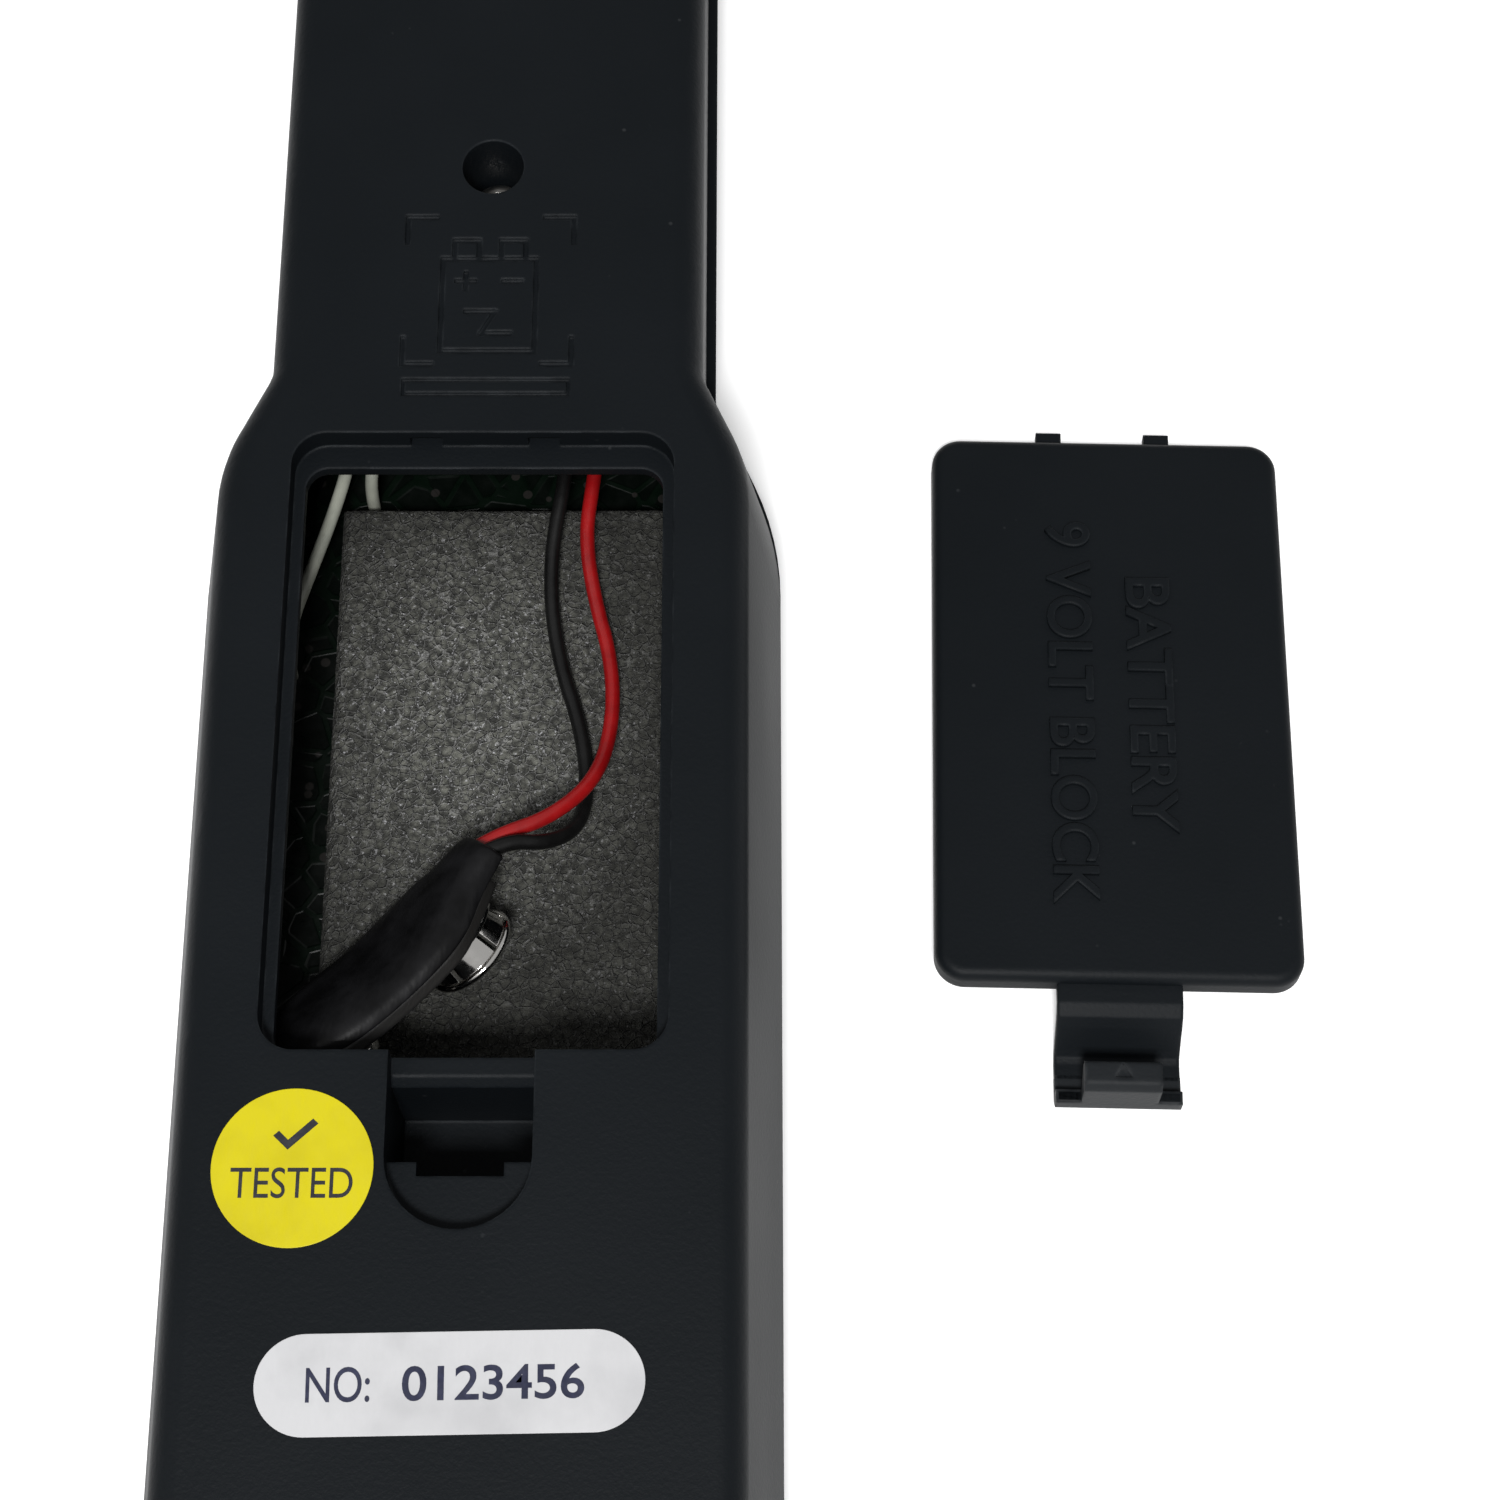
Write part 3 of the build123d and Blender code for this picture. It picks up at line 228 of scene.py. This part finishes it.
def foam_paint():
    """Open-cell grey foam: pale strands with painted glints, pores between them painted dark as shade, and
    painted shade darkening the pad towards its rim.
    """
    paint = Paint("foam_cells", (0.08, 0.08, 0.08), 0.85, Specular_IOR_Level=0.35)
    # Painted shade: the pores between the strands are darkened nearly to black.
    pore_shade = paint.ramp(paint.cells(1500).outputs["Distance"], 0.25, 0.75)
    strands = paint.ramp(paint.cells(1150, "DISTANCE_TO_EDGE").outputs["Distance"], 0.10, 0.0)
    mottle = paint.ramp(paint.noise(900, 4.0, 0.75), 0.3, 0.75)
    # Painted highlight: small bright glints on the strands.
    painted_glints = paint.ramp(paint.noise(2600, 2.0, 0.8), 0.60, 0.74)
    base = paint.mix(mottle, (0.050, 0.051, 0.044), (0.205, 0.207, 0.180))
    base = paint.mix(paint.math("MULTIPLY", pore_shade, 0.75), base, (0.008, 0.008, 0.009))
    base = paint.mix(paint.math("MULTIPLY", strands, 0.55), base, (0.34, 0.34, 0.33))
    base = paint.mix(paint.math("MULTIPLY", painted_glints, 0.8), base, (0.62, 0.62, 0.64))
    # Painted shade: the pad darkens towards its rim, where the bay's walls shade it.
    centre = paint.node("ShaderNodeMapping", {"Vector": paint.place})
    centre.inputs["Location"].default_value = (0.12, 0.28, 0)
    centre.inputs["Scale"].default_value = (53, 36, 0)
    away = paint.node("ShaderNodeVectorMath", {"Vector": centre.outputs[0]}, operation="LENGTH")
    painted_rim_shade = paint.ramp(away.outputs["Value"], 0.25, 0.95, 0.0, 0.8)
    base = paint.mix(painted_rim_shade, base, (0.012, 0.012, 0.010))
    paint.color(base)
    paint.roughness(paint.ramp(mottle, 0.0, 1.0, 0.95, 0.7))
    paint.bump((mottle, 0.0003), (strands, 0.0002))
    return paint.material


def vinyl_paint():
    """Soft moulded black vinyl: smooth, faintly wrinkled, with a broad sheen."""
    paint = Paint("snap_vinyl", (0.006, 0.006, 0.006), 0.4, Specular_IOR_Level=0.2)
    cloud = paint.noise(320, 4.0)
    paint.color(paint.mix(paint.ramp(cloud, 0.35, 0.7), (0.003, 0.003, 0.0033), (0.008, 0.008, 0.009)))
    paint.roughness(paint.ramp(cloud, 0.3, 0.7, 0.36, 0.52))
    paint.bump((paint.noise(420, 3.0, stretch=(1, 0.4, 1), turn=(0, 0, 0.65)), 0.00016),
               (paint.noise(2400, 2.0), 0.00001))
    return paint.material


def laminate_paint():
    """Green solder mask over copper tracks, with plated pads, all darkened nearly to black as painted shade
    from the bay.
    """
    paint = Paint("board_laminate", (0.002, 0.006, 0.003), 0.3, Specular_IOR_Level=0.25)
    tracks = paint.cells(330, "DISTANCE_TO_EDGE")
    line = paint.ramp(tracks.outputs["Distance"], 0.10, 0.06)
    pads = paint.ramp(paint.cells(420).outputs["Distance"], 0.20, 0.17)
    cloud = paint.ramp(paint.noise(90), 0.3, 0.7)
    base = paint.mix(cloud, (0.0006, 0.0013, 0.0009), (0.0008, 0.0020, 0.0012))
    base = paint.mix(line, base, (0.0010, 0.0034, 0.0017))
    paint.color(paint.mix(pads, base, (0.014, 0.013, 0.012)))
    paint.bump((line, 0.00004), (paint.noise(1900, 3.0), 0.00001))
    paint.roughness(paint.ramp(paint.noise(600), 0.3, 0.7, 0.25, 0.4))
    return paint.material


def banded(name, light, dark, direction, scale, rough=0.35, metallic=0.0, share=(0.45, 0.55), depth=0.00002):
    """Bands across one axis: wire turns, resistor rings, a capacitor's stripe."""
    paint = Paint(name, light, rough, Metallic=metallic)
    wave = paint.node("ShaderNodeTexWave", {"Vector": paint.place}, bands_direction=direction)
    wave.inputs["Scale"].default_value = scale
    wave.inputs["Distortion"].default_value = 0.4
    band = wave.outputs["Fac"]
    mottled = paint.mix(paint.ramp(paint.noise(500), 0.3, 0.7), light, tuple(c * 0.75 for c in light))
    paint.color(paint.mix(paint.ramp(band, *share), dark, mottled))
    paint.roughness(paint.ramp(paint.noise(800), 0.3, 0.7, rough * 0.8, rough * 1.25))
    paint.bump((band, depth))
    return paint.material


def clear_paint():
    """Clear moulded cap with faint swirl marks."""
    paint = Paint("lens_clear", (0.85, 0.9, 0.9), 0.08, Transmission_Weight=0.9, IOR=1.49)
    paint.roughness(paint.ramp(paint.noise(700, 3.0), 0.3, 0.7, 0.05, 0.16))
    paint.bump((paint.noise(260), 0.00002))
    return paint.material


SHELL_DARK, SHELL_LIGHT = (0.0040, 0.0054, 0.0068), (0.0052, 0.0067, 0.0083)
shell_paint = moulded("charcoal_shell", SHELL_DARK, SHELL_LIGHT, dust=0.1, specular=0.11)
black_paint = moulded("black_plastic", (0.010, 0.010, 0.011), (0.016, 0.016, 0.017), dust=0.2)
paints = {
    "rear_shell": shell_paint,
    "front_shell": shell_paint,
    "door_panel": shell_paint,
    "latch_strap": shell_paint,
    # Painted light: the tongue is a lighter copy of the shell plastic, with stronger edge lightening as wear
    # and painted highlight.
    "latch_tongue": moulded("tongue_shell_painted_light", SHELL_LIGHT, (0.010, 0.012, 0.014), bevel=0.0007,
                            edge_wear_and_highlight=(0.09, 0.095, 0.10), dust=0.1, specular=0.2),
    "case_screws": metal("screw_steel", (0.42, 0.41, 0.39), (0.25, 0.42), (1, 1, 0.2)),
    "board_screws": metal("board_screw_steel", (0.5, 0.49, 0.46), (0.25, 0.42)),
    "circuit_board": laminate_paint(),
    "battery_foam_pad": foam_paint(),
    "ferrite_rod": moulded("ferrite", (0.018, 0.018, 0.02), (0.035, 0.034, 0.034), grain=1800, depth=0.00006),
    "coil_bobbin": moulded("bobbin_nylon", (0.55, 0.52, 0.44), (0.68, 0.65, 0.56), edge_wear_and_highlight=(0.7, 0.68, 0.6)),
    "coil_winding": banded("copper_wire", (0.62, 0.22, 0.07), (0.16, 0.04, 0.01), "Y", 520,
                           0.28, 0.9, (0.1, 0.5)),
    "potentiometer_body": black_paint,
    "sensitivity_knob": moulded("knob_plastic", (0.014, 0.014, 0.015), (0.022, 0.022, 0.024), depth=0.00005),
    "knob_pointer": paper("pointer_paint", (0.6, 0.6, 0.58), (0.85, 0.85, 0.83)),
    "potentiometer_shaft": metal("shaft_metal", (0.7, 0.7, 0.69), (0.2, 0.35), (1, 1, 12)),
    "buzzer_housing": black_paint,
    "buzzer_disc": metal("buzzer_brass", (0.72, 0.52, 0.22), (0.2, 0.35)),
    "indicator_lamp": insulation("lamp_red", (0.35, 0.01, 0.01), (0.6, 0.02, 0.02)),
    "lamp_lens": clear_paint(),
    "amplifier_chip": moulded("chip_resin", (0.012, 0.012, 0.012), (0.022, 0.022, 0.022), grain=4000),
    "capacitors": banded("capacitor_sleeve", (0.02, 0.04, 0.17), (0.55, 0.57, 0.6), "X", 95, 0.3,
                         share=(0.04, 0.08)),
    "resistors": banded("resistor_coat", (0.55, 0.38, 0.19), (0.22, 0.04, 0.02), "X", 210, 0.35,
                        share=(0.2, 0.28)),
    "round_sticker": paper("sticker_yellow", (0.47, 0.40, 0.0005), (0.56, 0.485, 0.0005)),
    "serial_label": paper("label_white", (0.42, 0.42, 0.43), (0.52, 0.52, 0.53)),
    "front_panel_label": banded("panel_film", (0.62, 0.08, 0.03), (0.75, 0.72, 0.66), "Y", 30, 0.3,
                                share=(0.2, 0.24)),
    "snap_base": moulded("fibre_board", (0.008, 0.008, 0.008), (0.014, 0.013, 0.012), grain=3200, dust=0.0),
    "snap_socket": metal("nickel_bright", (0.93, 0.91, 0.88), (0.06, 0.16), amount=0.25),
    "snap_rivets": metal("rivet_nickel", (0.8, 0.79, 0.76)),
}
paints["comparator_chip"] = paints["amplifier_chip"]
paints["snap_stud"] = paints["snap_socket"]
vinyl = vinyl_paint()
paints["snap_cover"] = vinyl
red_paint = insulation("red_insulation", (0.19, 0.002, 0.003), (0.33, 0.006, 0.007))
lead_black = insulation("black_insulation", (0.002, 0.002, 0.002), (0.006, 0.006, 0.006), (0.4, 0.55), 0.25)
wire_paint = insulation("white_insulation", (0.20, 0.21, 0.18), (0.32, 0.33, 0.28))
paints["red_lead"] = red_paint
paints["black_lead"] = lead_black
paints["sensor_wire_long"] = wire_paint
paints["sensor_wire_short"] = wire_paint

for name, paint in paints.items():
    mesh = nodes[name].data
    mesh.materials.clear()
    mesh.materials.append(paint)


def new_object(name, verts, faces, paint, smooth=True):
    mesh = bpy.data.meshes.new(name)
    mesh.from_pydata([tuple(v) for v in verts], [], faces)
    mesh.materials.append(paint)
    if smooth:
        mesh.polygons.foreach_set("use_smooth", [True] * len(mesh.polygons))
    mesh.update()
    made = bpy.data.objects.new(name, mesh)
    bpy.context.scene.collection.objects.link(made)
    return made


# ---------------------------------------------------------------- snap cover
SNAP_HEADING, SNAP_LEAN, SNAP_BEND = radians(225.5), radians(44.5), 50.0
SOCKET_RIM = (4.4, 4.7)  # radius of the large terminal's rim, and how far it stands out from the base's back
TERMINAL_AT = 6.35  # from the snap's middle to each terminal
REST_HEIGHT = 10.1  # where the large terminal's rim rests, just clear of the foam
BEND_LIFT = SNAP_BEND * (1 - cos(TERMINAL_AT / SNAP_BEND)) * sin(SNAP_LEAN)
RIM_BELOW = SOCKET_RIM[0] * cos(SNAP_LEAN) + SOCKET_RIM[1] * sin(SNAP_LEAN) - BEND_LIFT
SNAP_AT = Vector((-7.65, -33.7, REST_HEIGHT + RIM_BELOW))
along = Vector((cos(SNAP_HEADING), sin(SNAP_HEADING), 0))
level = Vector((-sin(SNAP_HEADING), cos(SNAP_HEADING), 0))
out_of = level * cos(SNAP_LEAN) - Vector((0, 0, sin(SNAP_LEAN)))
across = out_of.cross(along)


def on_snap(s, y, h):
    """A point of the bent snap: distance along it, across it, and above its middle layer."""
    angle = s / SNAP_BEND
    x, z = (SNAP_BEND + h) * sin(angle), (SNAP_BEND + h) * cos(angle) - SNAP_BEND
    return (SNAP_AT + along * x + across * y + out_of * z) * MM


def snap_cover():
    """Leaf-shaped vinyl back: pinched over the leads, swelling over the terminals, rolled rim."""
    stations = [(-14.0, 2.3, 1.5), (-13.9, 2.7, 1.9), (-13.0, 2.9, 2.3), (-11.8, 3.1, 2.5), (-10.2, 3.5, 2.5),
                (-9.0, 4.2, 2.45), (-7.6, 5.1, 2.3), (-6.0, 5.8, 2.25), (-4.0, 6.1, 2.2), (-1.5, 6.18, 2.1),
                (1.5, 6.2, 2.1), (4.0, 6.2, 2.2), (6.2, 6.1, 2.2), (8.2, 5.65, 2.1), (9.8, 4.7, 1.9),
                (10.9, 3.5, 1.6), (11.6, 2.3, 1.35), (12.0, 1.0, 1.1)]
    around = 20
    verts, faces = [], []
    for s, half, deep in stations:
        for step in range(around):
            angle = 2 * pi * step / around
            c, q = cos(angle), sin(angle)
            y = half * (abs(c) ** 0.6) * (1 if c > 0 else -1)
            h = -deep * (abs(q) ** 0.75) if q > 0 else 0.12 * abs(q)
            swell = 0.22 if q > 0.3 and abs(abs(s) - TERMINAL_AT) < 2.6 and abs(y) < 4 else 0.0
            verts.append(on_snap(s, y, h - swell))
    for row in range(len(stations) - 1):
        for step in range(around):
            a, b = row * around + step, row * around + (step + 1) % around
            faces.append((a, b, b + around, a + around))
    faces.append(tuple(range(around)))
    last = (len(stations) - 1) * around
    faces.append(tuple(reversed(range(last, last + around))))
    made = new_object("snap_cover_vinyl", verts, faces, vinyl)
    modifier = made.modifiers.new("smooth", "SUBSURF")
    modifier.levels = modifier.render_levels = 2
    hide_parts("snap_cover")
    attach(made, "battery_snap")


snap_cover()


# ---------------------------------------------------------------- leads
RED_ROUTE = [(9.5, 21.6, 6.0), (9.5, 21.6, 9.4), (9.4, 19.2, 12.4), (9.0, 14.6, 13.2), (8.3, 9.4, 12.3),
             (9.2, 3.6, 11.6), (10.9, -2.6, 11.6), (11.2, -9.0, 12.4), (9.9, -15.0, 13.9), (6.0, -19.4, 16.0),
             (1.37, -21.46, 17.1), (-0.84, -23.15, 17.48)]
BLACK_ROUTE = [(6.4, 21.6, 6.0), (6.4, 21.6, 9.4), (6.4, 19.0, 12.2), (6.3, 14.2, 13.0), (5.3, 9.2, 12.0),
               (5.2, 3.4, 11.2), (6.2, -2.8, 10.9), (8.2, -8.8, 10.9), (9.0, -14.6, 11.4), (8.5, -19.4, 13.8),
               (6.0, -22.0, 16.6), (2.26, -22.35, 18.38), (0.06, -24.03, 18.76)]
WIRE_ROUTE_LONG = [(-5.6, 66.0, 16.4), (-5.6, 61.8, 16.4), (-9.4, 57.6, 15.4), (-13.0, 51.2, 13.6),
                   (-14.3, 42.0, 12.6), (-13.6, 32.0, 12.4), (-13.3, 24.0, 12.4), (-13.6, 17.2, 12.2),
                   (-15.0, 11.6, 11.9), (-16.9, 6.0, 11.3), (-18.6, 1.4, 10.2), (-18.8, -1.8, 8.2),
                   (-18.8, -1.8, 6.0)]
WIRE_ROUTE_SHORT = [(-3.4, 66.0, 18.8), (-3.4, 62.4, 18.8), (-6.8, 57.6, 17.8), (-10.6, 50.6, 15.6),
                    (-12.0, 41.0, 14.2), (-11.2, 31.0, 14.0), (-10.8, 23.0, 13.4), (-11.3, 18.0, 12.4),
                    (-11.9, 15.2, 10.6), (-11.9, 15.2, 6.0)]


def spline(name, route, radius):
    """A NURBS curve with the route's points as its control points."""
    data = bpy.data.curves.new(name, "CURVE")
    data.dimensions = "3D"
    data.resolution_u = 10
    line = data.splines.new("NURBS")
    line.points.add(len(route) - 1)
    for point, place in zip(line.points, route):
        point.co = (place[0] * MM, place[1] * MM, place[2] * MM, 1)
    line.order_u = 3
    line.use_endpoint_u = True
    data.bevel_depth = radius
    data.bevel_resolution = 6
    data.use_fill_caps = True
    made = bpy.data.objects.new(name, data)
    bpy.context.scene.collection.objects.link(made)
    return made


def tube(name, route, radius, paint):
    """The same spline as a mesh tube, with the points it follows."""
    thin = spline(name + "_line", route, 0.0)
    bpy.context.view_layer.update()
    line = bpy.data.meshes.new_from_object(thin)
    path = [tuple(v.co) for v in line.vertices]
    bpy.data.objects.remove(thin)
    thick = spline(name + "_round", route, radius)
    bpy.context.view_layer.update()
    mesh = bpy.data.meshes.new_from_object(thick)
    bpy.data.objects.remove(thick)
    mesh.materials.clear()
    mesh.materials.append(paint)
    mesh.polygons.foreach_set("use_smooth", [True] * len(mesh.polygons))
    made = bpy.data.objects.new(name, mesh)
    bpy.context.scene.collection.objects.link(made)
    return made, path


LEAD_RADIUS, WIRE_RADIUS = 0.675 * MM, 0.6 * MM

red_lead, red_path = tube("lead_red", RED_ROUTE, LEAD_RADIUS, red_paint)
black_lead, black_path = tube("lead_black", BLACK_ROUTE, LEAD_RADIUS, lead_black)
for piece, path, cad, length, finish in ((red_lead, red_path, "red_lead", 0.0555, "red_insulation"),
                                         (black_lead, black_path, "black_lead", 0.057, "black_insulation")):
    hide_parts(cad)
    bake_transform(piece)

for name, route, cad, length in (("wire_long", WIRE_ROUTE_LONG, "sensor_wire_long", 0.073),
                                 ("wire_short", WIRE_ROUTE_SHORT, "sensor_wire_short", 0.0575)):
    wire = spline(name, route, WIRE_RADIUS)
    wire.data.materials.append(wire_paint)
    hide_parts(cad)
    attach(wire, "case")


# ---------------------------------------------------------------- foam pad
CELL = 0.33  # grid step of the foam's top, in millimetres
TOP_DROP = 0.22  # room for the grain under the top of the pad's box
EDGE_SOFT = 0.9  # width and depth of the rounded edge


def foam_pad():
    """Foam block with soft edges and a torn, granular face."""
    low, high = (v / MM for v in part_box("battery_foam_pad"))
    nx, ny = int((high.x - low.x) / CELL), int((high.y - low.y) / CELL)
    verts, faces = [], []
    for j in range(ny + 1):
        for i in range(nx + 1):
            x = low.x + (high.x - low.x) * i / nx
            y = low.y + (high.y - low.y) * j / ny
            rim = min(x - low.x, high.x - x, y - low.y, high.y - y)
            soft = max(0.0, EDGE_SOFT - rim) / EDGE_SOFT
            rough = noise.noise(Vector((x * 1.7, y * 1.7, 3.0))) * 0.16
            rough += noise.noise(Vector((x * 4.5, y * 4.5, 8.0))) * 0.14
            sag = 0.18 * noise.noise(Vector((x * 0.12, y * 0.12, 1.0)))
            verts.append((x * MM, y * MM, (high.z - TOP_DROP + rough + sag - EDGE_SOFT * soft * soft) * MM))
    for j in range(ny):
        for i in range(nx):
            a = j * (nx + 1) + i
            faces.append((a, a + 1, a + nx + 2, a + nx + 1))
    rim = list(range(nx + 1))
    rim += [j * (nx + 1) + nx for j in range(1, ny + 1)]
    rim += [ny * (nx + 1) + i for i in range(nx - 1, -1, -1)]
    rim += [j * (nx + 1) for j in range(ny - 1, 0, -1)]
    start = len(verts)
    for index in rim:
        x, y, z = verts[index]
        verts.append((x, y, low.z * MM + 0.00002))
    count = len(rim)
    for k in range(count):
        a, b = rim[k], rim[(k + 1) % count]
        faces.append((b, a, start + k, start + (k + 1) % count))
    faces.append(tuple(start + k for k in reversed(range(count))))
    made = new_object("foam_block", verts, faces, paints["battery_foam_pad"])
    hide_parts("battery_foam_pad")
    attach(made, "case")


foam_pad()

# ---------------------------------------------------------------- door frame
SEAT_LENGTH, SEAT_DEPTH, DOOR_GAP = 56.1, 2.5, 0.25
DOOR_HALF = SEAT_LENGTH / 2 - DOOR_GAP
TAB_END = DOOR_HALF + 1.4
LATCH_DROP, LATCH_REACH = 6.6, 6.05  # of the U's bottom: below the door's face and out from its edge
REST_GAP = 0.02
DOOR_REST, DOOR_TURN = (56.9, -3.4), radians(-1.2)
TILT = atan2(LATCH_DROP - SEAT_DEPTH, TAB_END + DOOR_HALF + LATCH_REACH)
HEIGHT = SEAT_DEPTH * cos(TILT) + TAB_END * sin(TILT) + REST_GAP
door = (Matrix.Translation((DOOR_REST[0] * MM, DOOR_REST[1] * MM, HEIGHT * MM))
        @ Matrix.Rotation(DOOR_TURN, 4, "Z") @ Matrix.Rotation(-TILT, 4, "X"))


def lettering(name, words, place, length, height, extrude, paint, body, bold=0.0, turn=0.0, soft=0.0):
    """Raised or printed words, sized to a given length and capital height in millimetres."""
    data = bpy.data.curves.new(name, "FONT")
    data.body = words
    data.size = 0.01
    data.align_x = "CENTER"
    data.align_y = "CENTER"
    data.extrude = extrude * MM / 2
    data.offset = bold * MM
    data.bevel_depth = soft * MM
    data.resolution_u = 6
    made = bpy.data.objects.new(name + "_text", data)
    bpy.context.scene.collection.objects.link(made)
    bpy.context.view_layer.update()
    mesh = bpy.data.meshes.new_from_object(made)
    bpy.data.objects.remove(made)
    xs = [v.co.x for v in mesh.vertices]
    ys = [v.co.y for v in mesh.vertices]
    centre = Vector(((min(xs) + max(xs)) / 2, (min(ys) + max(ys)) / 2, 0))
    scale = Matrix.Diagonal((length * MM / (max(xs) - min(xs)), height * MM / (max(ys) - min(ys)), 1, 1))
    mesh.transform(place @ Matrix.Rotation(turn, 4, "Z") @ scale @ Matrix.Translation(-centre))
    mesh.materials.clear()
    mesh.materials.append(paint)
    piece = bpy.data.objects.new(name, mesh)
    bpy.context.scene.collection.objects.link(piece)
    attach(piece, body)
    return piece


for name, words, x, y, length, height in (("door_words_first", "BATTERY", 3.6, -0.5, 26.2, 4.2),
                                          ("door_words_second", "9 VOLT BLOCK", -3.8, -1.1, 39.2, 4.3)):
    place = door @ Matrix.Translation((x * MM, y * MM, 0.0001))
    piece = lettering(name, words, place, length, height, 0.5, shell_paint, "battery_door",
                      bold=0.12, turn=-pi / 2, soft=0.08)

INK_HEIGHT = 0.02  # millimetres
print_black = ink("print_black", (0.012, 0.012, 0.016))
print_navy = ink("print_navy", (0.010, 0.012, 0.035))
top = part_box("round_sticker")[1].z
sticker_low, sticker_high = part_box("round_sticker")
middle = (sticker_low + sticker_high) / 2
place = Matrix.Translation((middle.x, middle.y - 1.25 * MM, top + 0.00001))
lettering("sticker_words", "TESTED", place, 9.8, 2.5, INK_HEIGHT, print_black, "case", 0.01)
label_low, label_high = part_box("serial_label")
middle_label = (label_low + label_high) / 2
place = (Matrix.Translation((middle_label.x, middle_label.y, label_high.z + 0.00001))
         @ Matrix.Rotation(radians(1.0), 4, "Z"))
for name, words, x, length, bold in (("label_words", "NO:", -8.7, 5.0, 0.05),
                                     ("label_number", "0123456", 3.4, 14.2, 0.13)):
    spot = place @ Matrix.Translation((x * MM, 0, 0))
    lettering(name, words, spot, length, 2.75, INK_HEIGHT, print_navy, "case", bold)


def tick_mark():
    """A plain check mark printed above the sticker's word."""
    corners = [(-1.5, 0.1), (-1.1, 0.5), (-0.4, -0.25), (1.35, 1.5), (1.75, 1.1), (-0.4, -1.05)]
    z = top + 0.00001
    verts = [(middle.x + x * MM * 1.1, middle.y + (y + 2.5) * MM, z + lift) for lift in (0, 0.00002)
             for x, y in corners]
    count = len(corners)
    faces = [tuple(range(count, 2 * count))[::-1], tuple(range(count))]
    faces += [(k, (k + 1) % count, (k + 1) % count + count, k + count) for k in range(count)]
    made = new_object("sticker_tick", verts, faces, print_black, smooth=False)
    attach(made, "case")


tick_mark()


# ---------------------------------------------------------------- latch
def latch_spring():
    """One continuous U from the door's edge down and up to the catch ears, with the thumb block on it."""
    half_width, half_thick = 5.6, 0.6
    line = [(-0.6, -1.7), (0.6, -1.7), (1.6, -1.72), (2.5, -2.1), (3.1, -2.9), (3.8, -4.0), (4.5, -5.05),
            (5.1, -5.75), (5.9, -6.0), (6.6, -6.0), (7.4, -6.0), (8.3, -6.0), (9.0, -5.75), (9.36, -5.2),
            (9.4, -4.8), (9.4, -4.2)]
    verts, faces = [], []
    for index, (d, h) in enumerate(line):
        before, after = line[max(index - 1, 0)], line[min(index + 1, len(line) - 1)]
        run = Vector((after[0] - before[0], after[1] - before[1])).normalized()
        side = Vector((-run.y, run.x))
        for x, sign in ((-half_width, 1), (half_width, 1), (half_width, -1), (-half_width, -1)):
            p = Vector((d, h)) + side * half_thick * sign
            verts.append(door @ Vector((x * MM, (-DOOR_HALF - p.x) * MM, p.y * MM)))
    for row in range(len(line) - 1):
        for k in range(4):
            a, b = row * 4 + k, row * 4 + (k + 1) % 4
            faces.append((a, b, b + 4, a + 4))
    faces.append((3, 2, 1, 0))
    last = (len(line) - 1) * 4
    faces.append((last, last + 1, last + 2, last + 3))
    made = new_object("latch_spring", verts, faces, shell_paint, smooth=False)
    modifier = made.modifiers.new("rounded", "BEVEL")
    modifier.width = 0.00022
    modifier.segments = 3
    modifier.limit_method = "ANGLE"
    modifier.angle_limit = radians(50)
    depsgraph = bpy.context.evaluated_depsgraph_get()
    mesh = bpy.data.meshes.new_from_object(made.evaluated_get(depsgraph))
    made.modifiers.clear()
    made.data = mesh
    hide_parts("latch_strap")
    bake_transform(made)


latch_spring()

# ---------------------------------------------------------------- floor, world and lights
floor_mesh = bpy.data.meshes.new("floor")
floor_mesh.from_pydata([(-3, -3, 0), (3, -3, 0), (3, 3, 0), (-3, 3, 0)], [], [(0, 1, 2, 3)])
floor = bpy.data.objects.new("floor", floor_mesh)
bpy.context.scene.collection.objects.link(floor)
floor.location.z = -0.0001
pale = Paint("pale_floor", (0.9, 0.9, 0.9), 0.7, Specular_IOR_Level=0.1, Emission_Strength=0.28)
pale.shader.inputs["Emission Color"].default_value = (1, 1, 1, 1)
pale.color(pale.mix(pale.ramp(pale.noise(3), 0.3, 0.7), (0.88, 0.88, 0.88), (0.91, 0.91, 0.91)))
floor_mesh.materials.append(pale.material)

world = bpy.data.worlds.new("studio")
world.use_nodes = True
world.node_tree.nodes["Background"].inputs["Color"].default_value = (1, 1, 1, 1)
world.node_tree.nodes["Background"].inputs["Strength"].default_value = 0.34
bpy.context.scene.world = world
bpy.context.scene.view_settings.view_transform = "Standard"
bpy.context.scene.view_settings.look = "None"


def softbox(name, place, aim, size, watts, tint=(1, 1, 1)):
    data = bpy.data.lights.new(name, "AREA")
    data.shape = "RECTANGLE"
    data.size, data.size_y = size
    data.energy = watts
    data.color = tint
    made = bpy.data.objects.new(name, data)
    bpy.context.scene.collection.objects.link(made)
    made.location = place
    made.rotation_euler = (Vector(aim) - Vector(place)).to_track_quat("-Z", "Y").to_euler()


softbox("overhead", (0.0, -0.48, 0.85), (0.02, 0, 0), (0.16, 0.16), 9.5)
softbox("key_left", (-0.65, -0.2, 0.6), (0, 0, 0), (0.5, 0.7), 1.2)
softbox("fill_right", (0.80, 0.25, 0.30), (0.02, 0.05, 0), (0.4, 0.6), 0.5)
